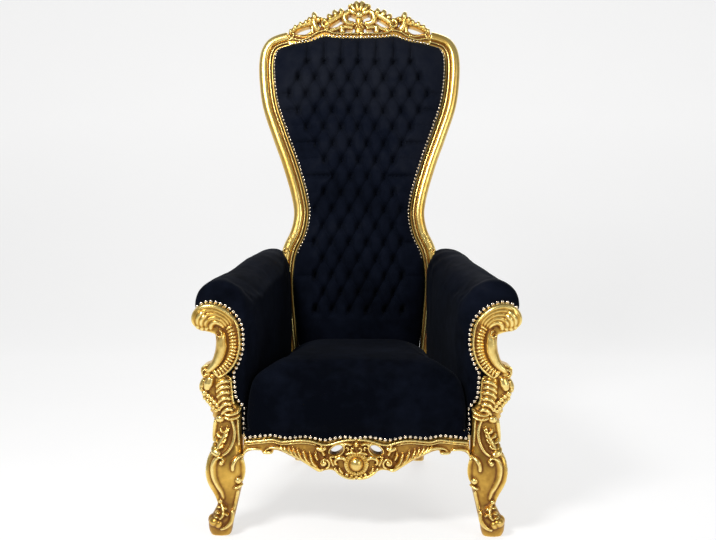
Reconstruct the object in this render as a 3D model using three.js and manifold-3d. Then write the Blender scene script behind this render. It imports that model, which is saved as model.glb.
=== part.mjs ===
// A gilt rococo throne: a carved and gilded wooden frame with a waisted high back and a pierced crest,
// upholstered in velvet with a deep-buttoned back, rolled arms and a sprung seat.
// Millimetres, +Z up, the front faces -Y. The frame is symmetric about the plane X = 0.
import * as THREE from 'three';
import { mergeVertices } from 'three/addons/utils/BufferGeometryUtils.js';
import Module from 'manifold-3d';

const wasm = await Module();
wasm.setup();

// ---- Driving dimensions ----

const FRONT_Y = -403; // front face of the front rail
const POST_DEPTH = 66; // from the front of the arm scroll to its back
const RAIL_BOTTOM = 252; // underside of the rails beside the legs
const RAIL_TOP = 292; // top of the rails, where the upholstery starts
const RAIL_THICK = 42;
const POST_INNER = 331; // from the middle to the front posts
const SEAT_FRONT_HALF = 321; // half the seat's width between the arms, at the front
const SEAT_REAR_HALF = 226;
const ARM_CLEARANCE = 7; // the seat stops this far inside the arms
const PAD_ROOM = 62; // and this far in front of the back frame
const SEAT_TOP = 512; // crown of the sprung seat
const BACK_FOOT_Y = 202; // front of the back frame at rail height
const BACK_FOOT_Z = 300; // the height that the reclined back turns about
const RECLINE = THREE.MathUtils.degToRad(8);
const STILE_WIDTH = 54;
const STILE_DEPTH = 40;
const ARM_REAR_Y = 300; // the arms run back to here before the back frame cuts them
const SCROLL = { x: 447, z: 558, r: 77, reach: 122 }; // the big C-scroll that ends each arm
const GAP = 0.4; // clearance between neighbouring pieces
const SLIVER = 0.2; // edges shorter than this are closed up where solids are joined
const SUNK = 0.6; // relief starts this far below the surface that it lies on

const GILT = new THREE.MeshStandardMaterial({ color: 0xd9a441, roughness: 0.34, metalness: 0.85 });
const VELVET = new THREE.MeshStandardMaterial({ color: 0x0a0e18, roughness: 0.95, metalness: 0 });

// ---- Small tools ----

const vec = (x, y, z) => new THREE.Vector3(x, y, z);
const lerp = THREE.MathUtils.lerp;
const rad = THREE.MathUtils.degToRad;

// A value read off a list of values spread evenly over t = 0 to 1.
function spread(values, t) {
  const place = THREE.MathUtils.clamp(t, 0, 1) * (values.length - 1);
  const k = Math.min(Math.floor(place), values.length - 2);
  return lerp(values[k], values[k + 1], place - k);
}

// The values of a list of rows [key, a, b, ...] at any key, half straight and half eased between its rows.
function station(rows, key) {
  const last = rows.length - 1;
  const k = THREE.MathUtils.clamp(rows.findIndex((row) => row[0] > key) - 1, 0, last - 1);
  const i = key >= rows[last][0] ? last - 1 : k;
  const t = THREE.MathUtils.clamp((key - rows[i][0]) / (rows[i + 1][0] - rows[i][0]), 0, 1);
  const s = t * t * (3 - 2 * t);
  return rows[i].slice(1).map((value, n) => lerp(value, rows[i + 1][n + 1], lerp(t, s, 0.5)));
}

function arcPoints(cx, cz, r, from, to, count = 7, squash = 1) {
  return Array.from({ length: count }, (_, i) => {
    const a = rad(lerp(from, to, i / (count - 1)));
    return [cx + r * Math.cos(a), cz + r * squash * Math.sin(a)];
  });
}

// A closed solid through rings of points, each with the same number of points, with flat ends. A face whose
// ring and point make turned(ring, point) true is split along its other diagonal.
function loft(rings, turned = () => false) {
  const count = rings[0].length;
  const points = rings.flat();
  const index = [];
  for (let r = 0; r + 1 < rings.length; r++) {
    for (let k = 0; k < count; k++) {
      const a = r * count + k;
      const b = r * count + ((k + 1) % count);
      const c = b + count;
      const d = a + count;
      index.push(...(turned(r, k) ? [a, b, c, a, c, d] : [a, b, d, b, c, d]));
    }
  }
  const first = capTriangles(rings[0]);
  const end = capTriangles(rings.at(-1));
  const base = (rings.length - 1) * count;
  first.forEach(([a, b, c]) => index.push(a, c, b));
  end.forEach(([a, b, c]) => index.push(base + a, base + b, base + c));
  return new THREE.BufferGeometry().setFromPoints(points).setIndex(index);
}

// Triangles over one ring, wound as the ring is.
function capTriangles(ring) {
  const normal = vec(0, 0, 0);
  const edge = vec(0, 0, 0);
  ring.forEach((p, i) => normal.add(edge.crossVectors(p, ring[(i + 1) % ring.length])));
  normal.normalize();
  const right = ring[1].clone().sub(ring[0]);
  right.addScaledVector(normal, -right.dot(normal)).normalize();
  const up = vec(0, 0, 0).crossVectors(normal, right);
  const flat = ring.map((p) => new THREE.Vector2(p.dot(right), p.dot(up)));
  return THREE.ShapeUtils.triangulateShape(flat, []).map(([a, b, c]) => {
    const turn = flat[b].clone().sub(flat[a]).cross(flat[c].clone().sub(flat[a]));
    return turn > 0 ? [a, b, c] : [a, c, b];
  });
}

// A manifold-3d solid of a closed geometry, turned to face outwards.
function solid(geometry) {
  const bare = new THREE.BufferGeometry().setAttribute('position', geometry.getAttribute('position'));
  if (geometry.index) bare.setIndex(geometry.index);
  const merged = mergeVertices(bare, 1e-3);
  const triVerts = new Uint32Array(merged.index.array);
  const vertProperties = merged.attributes.position.array;
  const shell = { numProp: 3, vertProperties, triVerts, tolerance: SLIVER };
  const made = new wasm.Manifold(new wasm.Mesh(shell));
  if (made.volume() > 0) return made;
  for (let i = 0; i < triVerts.length; i += 3) {
    [triVerts[i + 1], triVerts[i + 2]] = [triVerts[i + 2], triVerts[i + 1]];
  }
  return new wasm.Manifold(new wasm.Mesh(shell));
}

const fuse = (solids) => solids.reduce((whole, next) => whole.add(next));

function geometryOf(made) {
  const mesh = made.getMesh();
  const points = new Float32Array(mesh.numVert * 3);
  for (let i = 0; i < mesh.numVert; i++) {
    points.set(mesh.vertProperties.subarray(i * mesh.numProp, i * mesh.numProp + 3), i * 3);
  }
  return new THREE.BufferGeometry()
    .setAttribute('position', new THREE.BufferAttribute(points, 3))
    .setIndex(new THREE.BufferAttribute(mesh.triVerts, 1));
}

function piece(name, geometry, material) {
  const mesh = new THREE.Mesh(geometry, material);
  mesh.name = name;
  return mesh;
}

function mirrored(name, original) {
  const mesh = piece(name, original.geometry, original.material);
  mesh.scale.x = -1;
  return mesh;
}

// Sections of carved relief as [side, height], where 1 is the half width and the full height.
const RIDGE = [[-1, 0], [0, 1], [1, 0]];
const ROLL = [[-1, 0], [-0.55, 1], [0.55, 1], [1, 0]];
const STRAP = [[-1, 0.4], [0, 1], [1, 0.4]];

// Carved relief: a bar along a curve of [x, z] points. face(x, z) is the surface that it lies on. widths are
// half widths and heights stand out of that surface, both spread along the curve, and it is sunk by sink.
function bar(points, widths, heights, face, { steps = 7, sink = 10, section = RIDGE } = {}) {
  const curve = new THREE.CatmullRomCurve3(points.map(([x, z]) => vec(x, 0, z)), false, 'centripetal');
  const rings = [];
  for (let i = 0; i <= steps; i++) {
    const t = i / steps;
    const at = curve.getPoint(t);
    const along = curve.getTangent(t);
    const width = spread(widths, t);
    const height = spread(heights, t);
    const outline = [[-1, -sink], ...section.map(([side, up]) => [side, up * height - SUNK]), [1, -sink]];
    rings.push(
      outline.map(([side, out]) => {
        const x = at.x + side * width * along.z;
        const z = at.z - side * width * along.x;
        return vec(x, face(x, z) - out, z);
      }),
    );
  }
  return solid(loft(rings));
}

// A leaf from [x, z], length long, heading at an angle in degrees and bending by bend degrees. Its tip is
// blunt times as wide as its middle.
function leaf(x, z, length, heading, bend, width, height, face, options = {}) {
  const { sink = 10, steps = 3, blunt = 0.15 } = options;
  const points = [[x, z]];
  for (let i = 1; i <= 4; i++) {
    const a = rad(heading + (bend * (i - 0.5)) / 4);
    const [px, pz] = points[i - 1];
    points.push([px + (length / 4) * Math.cos(a), pz + (length / 4) * Math.sin(a)]);
  }
  const widths = [width * 0.6, width, width * 0.9, width * blunt];
  return bar(points, widths, [height * 0.7, height, height, height * blunt], face, { steps, sink });
}

function boss(x, y, z, rx, ry, rz, around = 10, up = 6) {
  const ball = new THREE.SphereGeometry(1, around, up);
  return solid(ball.rotateX(Math.PI / 2).scale(rx, ry, rz).translate(x, y, z));
}

// A line of [x, z] points on the other side of X = 0, run the other way.
const mirroredLine = (half) => half.map(([x, z]) => [-x, z]).reverse();

const bothSides = (half) => half.flatMap((made) => [made, made.scale([-1, 1, 1])]);

// ---- Front posts: cabriole leg, post and arm scroll, carved in one ----

// [height, centre x, half width, centre y, half depth]
const POST_STATIONS = [
  [0, 397, 28, -385, 25],
  [14, 398, 34, -386, 29],
  [42, 396, 38, -386, 36],
  [66, 386, 34, -386, 33],
  [95, 377, 31, -376, 30],
  [120, 377, 37, -376, 36],
  [150, 381, 48, -380, 45],
  [185, 382, 53, -383, 47],
  [221, 380, 50, -383, 45],
  [250, 376, 44, -379, 41],
  [290, 373, 41, -374, 34],
  [330, 373, 41, -371, 33],
  [365, 378, 45, -371, 33],
  [400, 399, 46, -371, 33],
  [430, 407, 44, -371, 33],
  [475, 403, 38, -371, 33],
];

function postFace(x, z) {
  const [cx, hx, cy, hy] = station(POST_STATIONS, z);
  const off = Math.min(Math.abs((x - cx) / hx), 0.985);
  return cy - hy * Math.pow(1 - off ** 3, 1 / 3);
}

function postBody() {
  const around = 10;
  const heights = [0, 20, 42, 66, 98, 138, 185, 225, 288, 345, 385, 425, 475];
  const round = (value) => Math.sign(value) * Math.abs(value) ** 0.72;
  return solid(
    loft(
      heights.map((z) => {
        const [cx, hx, cy, hy] = station(POST_STATIONS, z);
        return Array.from({ length: around }, (_, i) => {
          const a = (2 * Math.PI * (i + 0.5)) / around;
          return vec(cx + hx * round(Math.cos(a)), cy + hy * round(Math.sin(a)), z);
        });
      }),
    ),
  );
}

// Across the scroll from its hollow side: a fat roll, a groove, a ribbed band and an outer fillet.
const SCROLL_SECTION = [
  [-1, 0.2], [-0.8, 1], [-0.42, 1], [-0.14, 0], [0.08, 0.6], [0.66, 0.6], [0.76, 0.1], [0.88, 0.9], [1, 0.5],
];

function armScroll() {
  const { x, z, r } = SCROLL;
  const front = () => FRONT_Y + 4;
  const widths = [42, 44, 43, 41, 38, 32, 20];
  const sweep = { steps: 10, sink: POST_DEPTH, section: SCROLL_SECTION };
  const body = bar(arcPoints(x, z, r, 92, 274, 13), widths, [13, 12, 12, 12, 10], front, sweep);
  const nose = boss(x + 2, FRONT_Y + 32, z + r, 30, 38, 43, 9, 6);
  const heel = boss(x - 3, FRONT_Y + 32, z - r, 14, 36, 21, 6, 4);
  const plume = [0, 1, 2].map((i) =>
    leaf(x - 48 + 16 * i, z + r - 30, 66 - 11 * i, 80 - 14 * i, -34, 12, 15, front),
  );
  return [body, nose, heel, ...plume];
}

function postCarving() {
  const frame = bar(arcPoints(382, 308, 26, -60, 240, 13, 1.95), [4, 4], [7, 7], postFace, { steps: 8 });
  const frond = leaf(386, 268, 86, 96, -14, 14, 8, postFace);
  const husk = [0, 1].map((i) => leaf(382 + 7 * i, 372 + 32 * i, 54, 44 + 8 * i, 30, 14, 10, postFace));
  const shoulder = leaf(412, 398, 56, 72, 22, 14, 13, postFace);
  const kneeEdges = [1, -1].map((side) =>
    bar(
      [[380 + side * 18, 264], [381 + side * 40, 232], [381 + side * 38, 180], [377 + side * 20, 116]],
      [5, 7, 7, 3],
      [6, 9, 7, 2],
      postFace,
      { steps: 3 },
    ),
  );
  const kneeShell = leaf(381, 264, 84, 270, 0, 16, 8, postFace);
  const footLeaf = leaf(398, 26, 80, 90, 22, 18, 9, postFace);
  const toe = boss(411, -402, 44, 22, 28, 20, 8, 4);
  return [frame, frond, ...husk, shoulder, ...kneeEdges, kneeShell, footLeaf, toe];
}

function frontPosts() {
  const carved = fuse([postBody(), ...armScroll(), ...postCarving()]);
  const right = piece('front_post_right', geometryOf(carved), GILT);
  return [right, mirrored('front_post_left', right)];
}

// ---- Rails ----

const RAIL_END = POST_INNER - 1;

function apronOutline() {
  const half = [
    [0, 167], [26, 170], [44, 179], [57, 189], [72, 196], [90, 195], [108, 190],
    [140, 202], [163, 217], [187, 232], [212, 246], [234, 253],
  ];
  const shape = new THREE.Shape();
  shape.moveTo(-RAIL_END, RAIL_TOP - GAP);
  shape.lineTo(-RAIL_END, RAIL_BOTTOM - 8);
  shape.quadraticCurveTo(-RAIL_END + 6, RAIL_BOTTOM + 2, -RAIL_END + 20, RAIL_BOTTOM + 2);
  [[-270, 2], [-266, -8], [-240, -8]].forEach(([x, z]) => shape.lineTo(x, RAIL_BOTTOM + z));
  [...half].reverse().forEach(([x, z]) => shape.lineTo(-x, z));
  half.slice(1).forEach(([x, z]) => shape.lineTo(x, z));
  [[240, -8], [266, -8], [270, 2]].forEach(([x, z]) => shape.lineTo(x, RAIL_BOTTOM + z));
  shape.lineTo(RAIL_END - 20, RAIL_BOTTOM + 2);
  shape.quadraticCurveTo(RAIL_END - 6, RAIL_BOTTOM + 2, RAIL_END, RAIL_BOTTOM - 8);
  shape.lineTo(RAIL_END, RAIL_TOP - GAP);
  for (const side of [-1, 1]) {
    const eye = new THREE.Path();
    eye.absellipse(side * 57, 253, 20, 12, 0, 2 * Math.PI, true, -side * rad(30));
    shape.holes.push(eye);
  }
  return shape;
}

// A shape drawn as x and z, given thickness backwards from y.
function slab(shape, y, thick, curveSegments = 5) {
  const geometry = new THREE.ExtrudeGeometry(shape, { depth: thick, bevelEnabled: false, curveSegments });
  return geometry.rotateX(Math.PI / 2).translate(0, y + thick, 0);
}

function frontRail() {
  const face = () => FRONT_Y;
  const body = solid(slab(apronOutline(), FRONT_Y, RAIL_THICK));
  const crownHalf = [[94, 278], [150, 284], [RAIL_END, 284]];
  const crownLine = [...mirroredLine(crownHalf), [0, 285], ...crownHalf];
  const crown = bar(crownLine, [4, 4], [6, 6], face, { steps: 8 });
  const centre = [
    boss(0, FRONT_Y, 213, 21, 17, 22, 8, 4),
    bar(arcPoints(0, 213, 28, 0, 355, 17), [5, 5], [9, 9], face, { steps: 8 }),
    leaf(0, 244, 38, 90, 0, 15, 9, face),
    leaf(0, 186, 18, 270, 0, 16, 8, face),
  ];
  const side = [
    bar(arcPoints(94, 216, 13, 20, 300, 9), [6, 5], [10, 10], face, { steps: 7 }),
    bar([[88, 203], [110, 199], [150, 215], [212, 254]], [6, 7, 6, 3], [8, 10, 9, 3], face, { steps: 5 }),
    leaf(30, 190, 46, 70, 40, 7, 9, face),
    ...[0, 1, 2].map((i) => leaf(116 + 24 * i, 208 + 11 * i, 52 - 6 * i, 66 - 7 * i, -24, 9, 10, face)),
  ];
  return piece('front_rail', geometryOf(fuse([body, crown, ...centre, ...bothSides(side)])), GILT);
}

const SIDE_RAIL = { front: vec(371, -331, 0), rear: vec(254, 190, 0) };

function sideRails() {
  const { front, rear } = SIDE_RAIL;
  const length = front.distanceTo(rear);
  const shape = new THREE.Shape();
  shape.moveTo(0, RAIL_TOP - GAP);
  shape.lineTo(0, RAIL_BOTTOM);
  shape.quadraticCurveTo(length * 0.25, RAIL_BOTTOM + 4, length * 0.42, RAIL_BOTTOM - 14);
  shape.quadraticCurveTo(length * 0.5, RAIL_BOTTOM - 26, length * 0.58, RAIL_BOTTOM - 14);
  shape.quadraticCurveTo(length * 0.75, RAIL_BOTTOM + 4, length, RAIL_BOTTOM);
  shape.lineTo(length, RAIL_TOP - GAP);
  const body = solid(slab(shape, -20, 40, 4));
  const crown = bar([[1, 284], [length - 1, 284]], [4, 4], [5, 5], () => -20, { steps: 1 });
  const right = piece('side_rail_right', geometryOf(fuse([body, crown])), GILT);
  right.position.copy(front);
  right.rotation.z = Math.atan2(rear.y - front.y, rear.x - front.x);
  const left = mirrored('side_rail_left', right);
  left.position.set(-front.x, front.y, 0);
  left.rotation.z = -right.rotation.z;
  return [right, left];
}

function backRail() {
  const half = 199;
  const rail = new THREE.BoxGeometry(2 * half, 36, RAIL_TOP - RAIL_BOTTOM - GAP);
  return piece('back_rail', rail.translate(0, BACK_FOOT_Y + 26, (RAIL_TOP + RAIL_BOTTOM - GAP) / 2), GILT);
}

// ---- The reclined back: posts, crest, tufted pad and outside cover ----

// Turns a point of the back's own plane, given across and up it, into the throne's frame.
const onBack = (x, up) =>
  vec(x, BACK_FOOT_Y + up * Math.sin(RECLINE), BACK_FOOT_Z + up * Math.cos(RECLINE));

// Centre line of the stile in the back's plane, from the rail up to the crest.
const STILE_LINE = new THREE.CatmullRomCurve3(
  [
    [226, -10], [236, 90], [252, 250], [262, 400], [249, 500], [220, 566], [208, 628], [215, 690],
    [249, 811], [288, 920], [324, 1030], [337, 1125], [338, 1190], [331, 1228], [314, 1254], [288, 1267],
    [257, 1275],
  ].map(([x, up]) => vec(x, 0, up)),
  false,
  'centripetal',
);

// Places along the stile: sparse behind the arms, close above them.
const STILE_PLACES = [0, 0.1, 0.2, ...Array.from({ length: 16 }, (_, i) => 0.29 + (0.71 * i) / 15)];

// Sections as [across, depth]: across is outwards, depth is backwards from the front face.
const STILE_PROFILE = [
  [27, STILE_DEPTH], [27, 7], [19, -5], [6, -8], [-5, -4], [-10, 2], [-18, -2], [-27, 4], [-27, STILE_DEPTH],
];
const LEG_PROFILE = [
  [20, 38], [24, 12], [17, 2], [5, 0], [-5, 0], [-17, 2], [-24, 12], [-24, 26], [-20, 38],
];

function postRing(centre, along, profile, recline) {
  const up = vec(0, Math.sin(recline), Math.cos(recline));
  const out = vec(0, Math.cos(recline), -Math.sin(recline));
  return profile.map(([across, depth]) =>
    centre
      .clone()
      .add(vec(along.z * across, 0, 0))
      .addScaledVector(up, -along.x * across)
      .addScaledVector(out, depth),
  );
}

const mix = (a, b, t) => a.map(([s, d], i) => [lerp(s, b[i][0], t), lerp(d, b[i][1], t)]);

function backPosts() {
  const rings = [];
  const foot = vec(222, 366, 0);
  const top = onBack(STILE_LINE.points[0].x, STILE_LINE.points[0].z);
  const upright = vec(0, 0, 1);
  const legSteps = 5;
  for (let i = 0; i < legSteps; i++) {
    const t = i / legSteps;
    const centre = vec(lerp(foot.x, top.x, t), lerp(top.y, foot.y, (1 - t) ** 1.5), top.z * t);
    const deep = lerp(1.35, 1.5, Math.sin(Math.PI * t));
    const wide = lerp(0.86, 1, t);
    const profile = LEG_PROFILE.map(([across, depth]) => [across * wide, depth * lerp(deep, 1, t ** 4)]);
    rings.push(postRing(centre, upright, profile, RECLINE * t));
  }
  for (const t of STILE_PLACES) {
    const at = STILE_LINE.getPointAt(t);
    const profile = mix(LEG_PROFILE, STILE_PROFILE, THREE.MathUtils.smoothstep(t, 0.05, 0.2));
    rings.push(postRing(onBack(at.x, at.z), STILE_LINE.getTangentAt(t), profile, RECLINE));
  }
  const right = piece('back_post_right', geometryOf(solid(loft(rings))), GILT);
  return [right, mirrored('back_post_left', right)];
}

const CREST_END = 255; // half width of the crest's base
const CREST_DEPTH = 34;

function crest() {
  const front = () => -2;
  const strap = (points, widths, heights, steps) =>
    bar(points, widths, heights, front, { steps, sink: CREST_DEPTH, section: STRAP });
  const tip = (x, up, long, heading, bend, wide) =>
    leaf(x, up, long, heading, bend, wide, 10, front, { sink: CREST_DEPTH - 4, steps: 2, blunt: 0.5 });
  const foot = [[60, 1291], [125, 1297], [185, 1283], [232, 1281], [CREST_END, 1275]];
  const footWidths = [26, 20, 18, 14, 12, 14, 18, 20, 26];
  const base = strap([...mirroredLine(foot), [0, 1289], ...foot], footWidths, [8, 8], 14);
  const stem = strap([[0, 1292], [0, 1320], [0, 1350]], [10, 8, 12], [8, 8], 2);
  const shell = [-2, -1, 0, 1, 2].map((i) => {
    const lobe = { sink: CREST_DEPTH, steps: 2, blunt: 0.6 };
    return leaf(0, 1356, 50 - 2 * Math.abs(i), 90 - 32 * i, 0, 12, 13, front, lobe);
  });
  const side = [
    strap(arcPoints(26, 1352, 24, -110, 130, 9), [10, 11, 10], [10, 10], 5),
    strap([[55, 1334], [60, 1312], [62, 1292]], [7, 7], [6, 6], 1),
    strap([[52, 1330], [80, 1313], [106, 1316]], [5, 5], [6, 6], 2),
    strap([[46, 1362], [84, 1354], [112, 1332], [122, 1302]], [11, 13, 11, 8], [10, 11, 9], 4),
    strap(arcPoints(120, 1324, 15, -60, 210, 8), [8, 8], [11, 11], 4),
    strap([[126, 1310], [148, 1308], [168, 1312]], [8, 8], [7, 7], 1),
    strap([[128, 1340], [147, 1350], [164, 1336]], [7, 7], [7, 7], 2),
    strap([[160, 1308], [168, 1328], [196, 1333], [228, 1321], [252, 1292]], [9, 7, 7, 7, 8], [8, 7], 4),
    tip(70, 1356, 28, 78, -20, 9),
    tip(97, 1346, 28, 66, -20, 9),
    tip(160, 1330, 42, 98, -24, 10),
    tip(196, 1334, 14, 80, -30, 8),
  ];
  return piece('crest_rail', geometryOf(fuse([base, stem, ...shell, ...bothSides(side)])), GILT);
}

// Outline of the opening inside the stiles, from the bottom up, as [half width, up].
function padEdge(inset) {
  return STILE_PLACES.map((t) => {
    const at = STILE_LINE.getPointAt(t);
    const along = STILE_LINE.getTangentAt(t);
    return [at.x - along.z * inset, at.z + along.x * inset];
  });
}

// The opening inside the stiles and under the crest, drawn in by inset, down to the height bottom.
function padShape(inset, bottom) {
  const side = padEdge(STILE_WIDTH / 2 + inset).filter(([, up]) => up > bottom + 4 && up < 1262);
  const top = [[248, 1246], [185, 1261], [125, 1279], [60, 1275]].map(([x, up]) => [x, up - inset]);
  const half = [[padHalfWidth(bottom) - inset - 1, bottom], ...side, ...top];
  return new THREE.Shape([
    ...half.map(([x, up]) => new THREE.Vector2(x, up)),
    new THREE.Vector2(0, 1273 - inset),
    ...half.reverse().map(([x, up]) => new THREE.Vector2(-x, up)),
  ]);
}

// The lattice of the buttons: its pitch across and up, the height of its top row, and how deep they pull.
const TUFT = { across: 62, up: 59.7, top: 1182, depth: 20 };
const PAD_CROWN = 46; // how far the pad stands out of the back frame between its buttons

function padHalfWidth(up) {
  const edge = padEdge(STILE_WIDTH / 2);
  const k = edge.findIndex(([, height]) => height > up);
  if (k <= 0) return edge[k === 0 ? 0 : edge.length - 1][0];
  return lerp(edge[k - 1][0], edge[k][0], (up - edge[k - 1][1]) / (edge[k][1] - edge[k - 1][1]));
}

// How far the pad stands out of the frame: a crown that falls to the edges, pulled in at the buttons.
function padHeight(x, up, pulled) {
  const fromSide = THREE.MathUtils.clamp(1 - Math.abs(x) / padHalfWidth(up), 0, 1);
  const fromTop = THREE.MathUtils.clamp((1290 - up) / 150, 0, 1);
  const crown = Math.min(1, 2.6 * fromSide) ** 0.5 * Math.sqrt(fromTop);
  return 4 + crown * (PAD_CROWN - (pulled ? TUFT.depth : 0));
}

// The buttons and the tops of the puffs between them alternate over a lattice; pleats join the buttons, and
// run straight up from the top row to the crest.
function backPad() {
  const rows = 20;
  const columns = 22;
  const pleated = (i, j) => (i + Math.max(j, 2)) % 2 === 1;
  const rings = [];
  for (let j = 0; j <= rows; j++) {
    const up = j < rows ? TUFT.top + TUFT.up * (2 - j) : 10;
    const ring = [];
    for (let i = 0; i <= columns; i++) {
      const x = (i - columns / 2) * TUFT.across * 0.5;
      ring.push(vec(x, -padHeight(x, up, pleated(i, j)), up));
    }
    const reach = columns * TUFT.across * 0.25;
    ring.push(vec(reach, 30, up), vec(-reach, 30, up));
    rings.push(ring);
  }
  const block = solid(loft(rings, (j, i) => pleated(i, j)));
  const cutter = solid(slab(padShape(GAP, 12), -200, 260));
  return piece('back_pad', geometryOf(block.intersect(cutter)), VELVET);
}

function outsideBack() {
  return piece('outside_back', slab(padShape(GAP, 12), 33, 12), VELVET);
}

// ---- Arms and seat ----

// The right arm's section at its front and rear ends, as [x, z], from the rail up outside, over and down.
const ARM_FRONT = [
  [398, 293], [398, 420], [412, 560], [440, 600], [466, 628], [474, 664], [469, 702], [450, 729],
  [413, 748], [370, 744], [336, 720], [317, 670], [310, 600], [316, 480], [326, 293],
];
const ARM_REAR = [
  [276, 293], [276, 420], [284, 560], [306, 650], [345, 690], [374, 715], [384, 745], [366, 780],
  [330, 800], [292, 800], [262, 784], [246, 745], [240, 670], [236, 480], [234, 293],
];

// One section of the arm, t of the way back. Its roll is drawn in by shrink towards the middle of the roll.
function armRing(t, shrink, y) {
  const drift = t ** 0.9;
  const rise = THREE.MathUtils.smoothstep(t, 0, 1);
  return ARM_FRONT.map(([frontX, frontZ], i) => {
    const x = lerp(frontX, ARM_REAR[i][0], drift);
    const z = lerp(frontZ, ARM_REAR[i][1], rise);
    const hold = z > RAIL_TOP + 60 ? shrink : 0;
    return vec(lerp(x, lerp(385, 306, drift), hold), y, lerp(z, lerp(655, 730, t), hold));
  });
}

function armPads() {
  const frontY = FRONT_Y + 6;
  const roundedEnd = [[0, 0.16, 0], [0.01, 0.05, 8], [0.04, 0, 24]];
  const rings = [
    ...roundedEnd.map(([t, shrink, back]) => armRing(t, shrink, frontY + back)),
    ...[0.16, 0.32, 0.5, 0.68, 0.86, 1].map((t) => armRing(t, 0, lerp(frontY, ARM_REAR_Y, t))),
  ];
  const stuffed = solid(loft(rings)).subtract(armScrollSpace()).subtract(backSpace());
  const right = piece('arm_pad_right', geometryOf(stuffed), VELVET);
  return [right, mirrored('arm_pad_left', right)];
}

// The room that the front post takes out of the arm: the scroll's round outline and the post below it.
function armScrollSpace() {
  const { x, z, reach } = SCROLL;
  const shape = new THREE.Shape();
  const inner = POST_INNER - 4;
  shape.moveTo(inner, 250);
  shape.lineTo(inner, 500);
  arcPoints(x, z, reach, 208, 74, 14).forEach(([px, pz]) => shape.lineTo(px, pz));
  shape.lineTo(530, z + 60);
  shape.lineTo(530, 250);
  return solid(slab(shape, FRONT_Y - 40, 44 + POST_DEPTH + 4));
}

// The room that the back post takes: everything inside its outer edge, and all that is behind it.
function backSpace() {
  const outer = padEdge(-STILE_WIDTH / 2 - GAP).filter(([, up]) => up < 700);
  const shape = new THREE.Shape([
    new THREE.Vector2(0, -40),
    new THREE.Vector2(outer[0][0], -40),
    ...outer.map(([x, up]) => new THREE.Vector2(x, up)),
    new THREE.Vector2(0, 700),
  ]);
  const post = slab(shape, -9, 300);
  const behind = new THREE.BoxGeometry(1200, 300, 1600).translate(0, 150 + STILE_DEPTH, 600);
  const place = (geometry) => solid(geometry.rotateX(-RECLINE).translate(0, BACK_FOOT_Y, BACK_FOOT_Z));
  return place(post).add(place(behind));
}

// One level of the seat, a rounded trapezium drawn in by inset, with its front pushed out by bulge.
function seatRing(inset, z, bulge) {
  const corner = 40;
  const frontY = FRONT_Y + 2 - bulge + inset;
  const rearY = BACK_FOOT_Y - PAD_ROOM - inset;
  const halfAt = (y) => {
    const t = (y - FRONT_Y) / (BACK_FOOT_Y - FRONT_Y);
    return lerp(SEAT_FRONT_HALF, SEAT_REAR_HALF, t) - inset - ARM_CLEARANCE;
  };
  const side = [];
  for (let i = 0; i <= 3; i++) {
    const a = rad(lerp(0, 90, i / 3));
    side.push([halfAt(frontY) - corner * (1 - Math.sin(a)), frontY + corner * (1 - Math.cos(a))]);
  }
  side.push([halfAt(lerp(frontY, rearY, 0.5)), lerp(frontY, rearY, 0.5)]);
  for (let i = 0; i <= 3; i++) {
    const a = rad(lerp(0, 90, i / 3));
    side.push([halfAt(rearY) - corner * (1 - Math.cos(a)), rearY - corner * (1 - Math.sin(a))]);
  }
  return [...side, ...side.reverse().map(([x, y]) => [-x, y])].map(([x, y]) => vec(x, y, z));
}

function seatPad() {
  const rings = [
    seatRing(2, RAIL_TOP + 1, 0),
    seatRing(0, RAIL_TOP + 26, 12),
    seatRing(0, 380, 24),
    seatRing(2, 440, 24),
    seatRing(14, 478, 22),
    seatRing(46, 499, 16),
    seatRing(110, 509, 0),
    seatRing(165, SEAT_TOP, 0),
  ];
  return piece('seat_pad', geometryOf(solid(loft(rings))), VELVET);
}

// ---- The throne ----

const throne = new THREE.Group();
const back = new THREE.Group();
back.position.set(0, BACK_FOOT_Y, BACK_FOOT_Z);
back.rotation.x = -RECLINE;
back.add(crest(), backPad(), outsideBack());
throne.add(...frontPosts(), frontRail(), ...sideRails(), backRail(), ...backPosts(), back);
throne.add(...armPads(), seatPad());

// The origin is under the middle of the whole throne, on the floor.
const reach = new THREE.Box3().setFromObject(throne);
throne.position.y = -(reach.min.y + reach.max.y) / 2;

export default throne;
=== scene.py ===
"""Carves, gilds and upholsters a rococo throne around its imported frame. Sizes inside the script are in
millimetres, in the frame's own axes: +X to the viewer's right, the front facing -Y, +Z up."""

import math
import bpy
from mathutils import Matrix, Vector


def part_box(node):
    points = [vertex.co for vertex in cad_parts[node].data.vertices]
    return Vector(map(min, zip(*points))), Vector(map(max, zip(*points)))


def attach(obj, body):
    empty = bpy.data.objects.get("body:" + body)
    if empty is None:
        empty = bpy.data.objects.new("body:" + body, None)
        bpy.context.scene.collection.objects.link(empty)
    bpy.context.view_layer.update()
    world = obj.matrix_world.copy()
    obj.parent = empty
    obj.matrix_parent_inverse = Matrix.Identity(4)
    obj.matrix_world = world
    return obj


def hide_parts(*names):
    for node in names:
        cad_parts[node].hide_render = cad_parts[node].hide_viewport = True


bl_info = {
    "name": "Gilt Throne",
    "version": (1, 0, 0),
    "blender": (4, 5, 0),
    "location": "View3D > Sidebar > Throne",
    "description": "Carved and gilded woodwork, buttoned velvet and brass nails for a rococo throne",
    "category": "Object",
}

import bpy
import numpy as np
from bpy.props import FloatProperty, FloatVectorProperty, PointerProperty
from mathutils import Vector
from mathutils.bvhtree import BVHTree
from mathutils.geometry import tessellate_polygon

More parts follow.
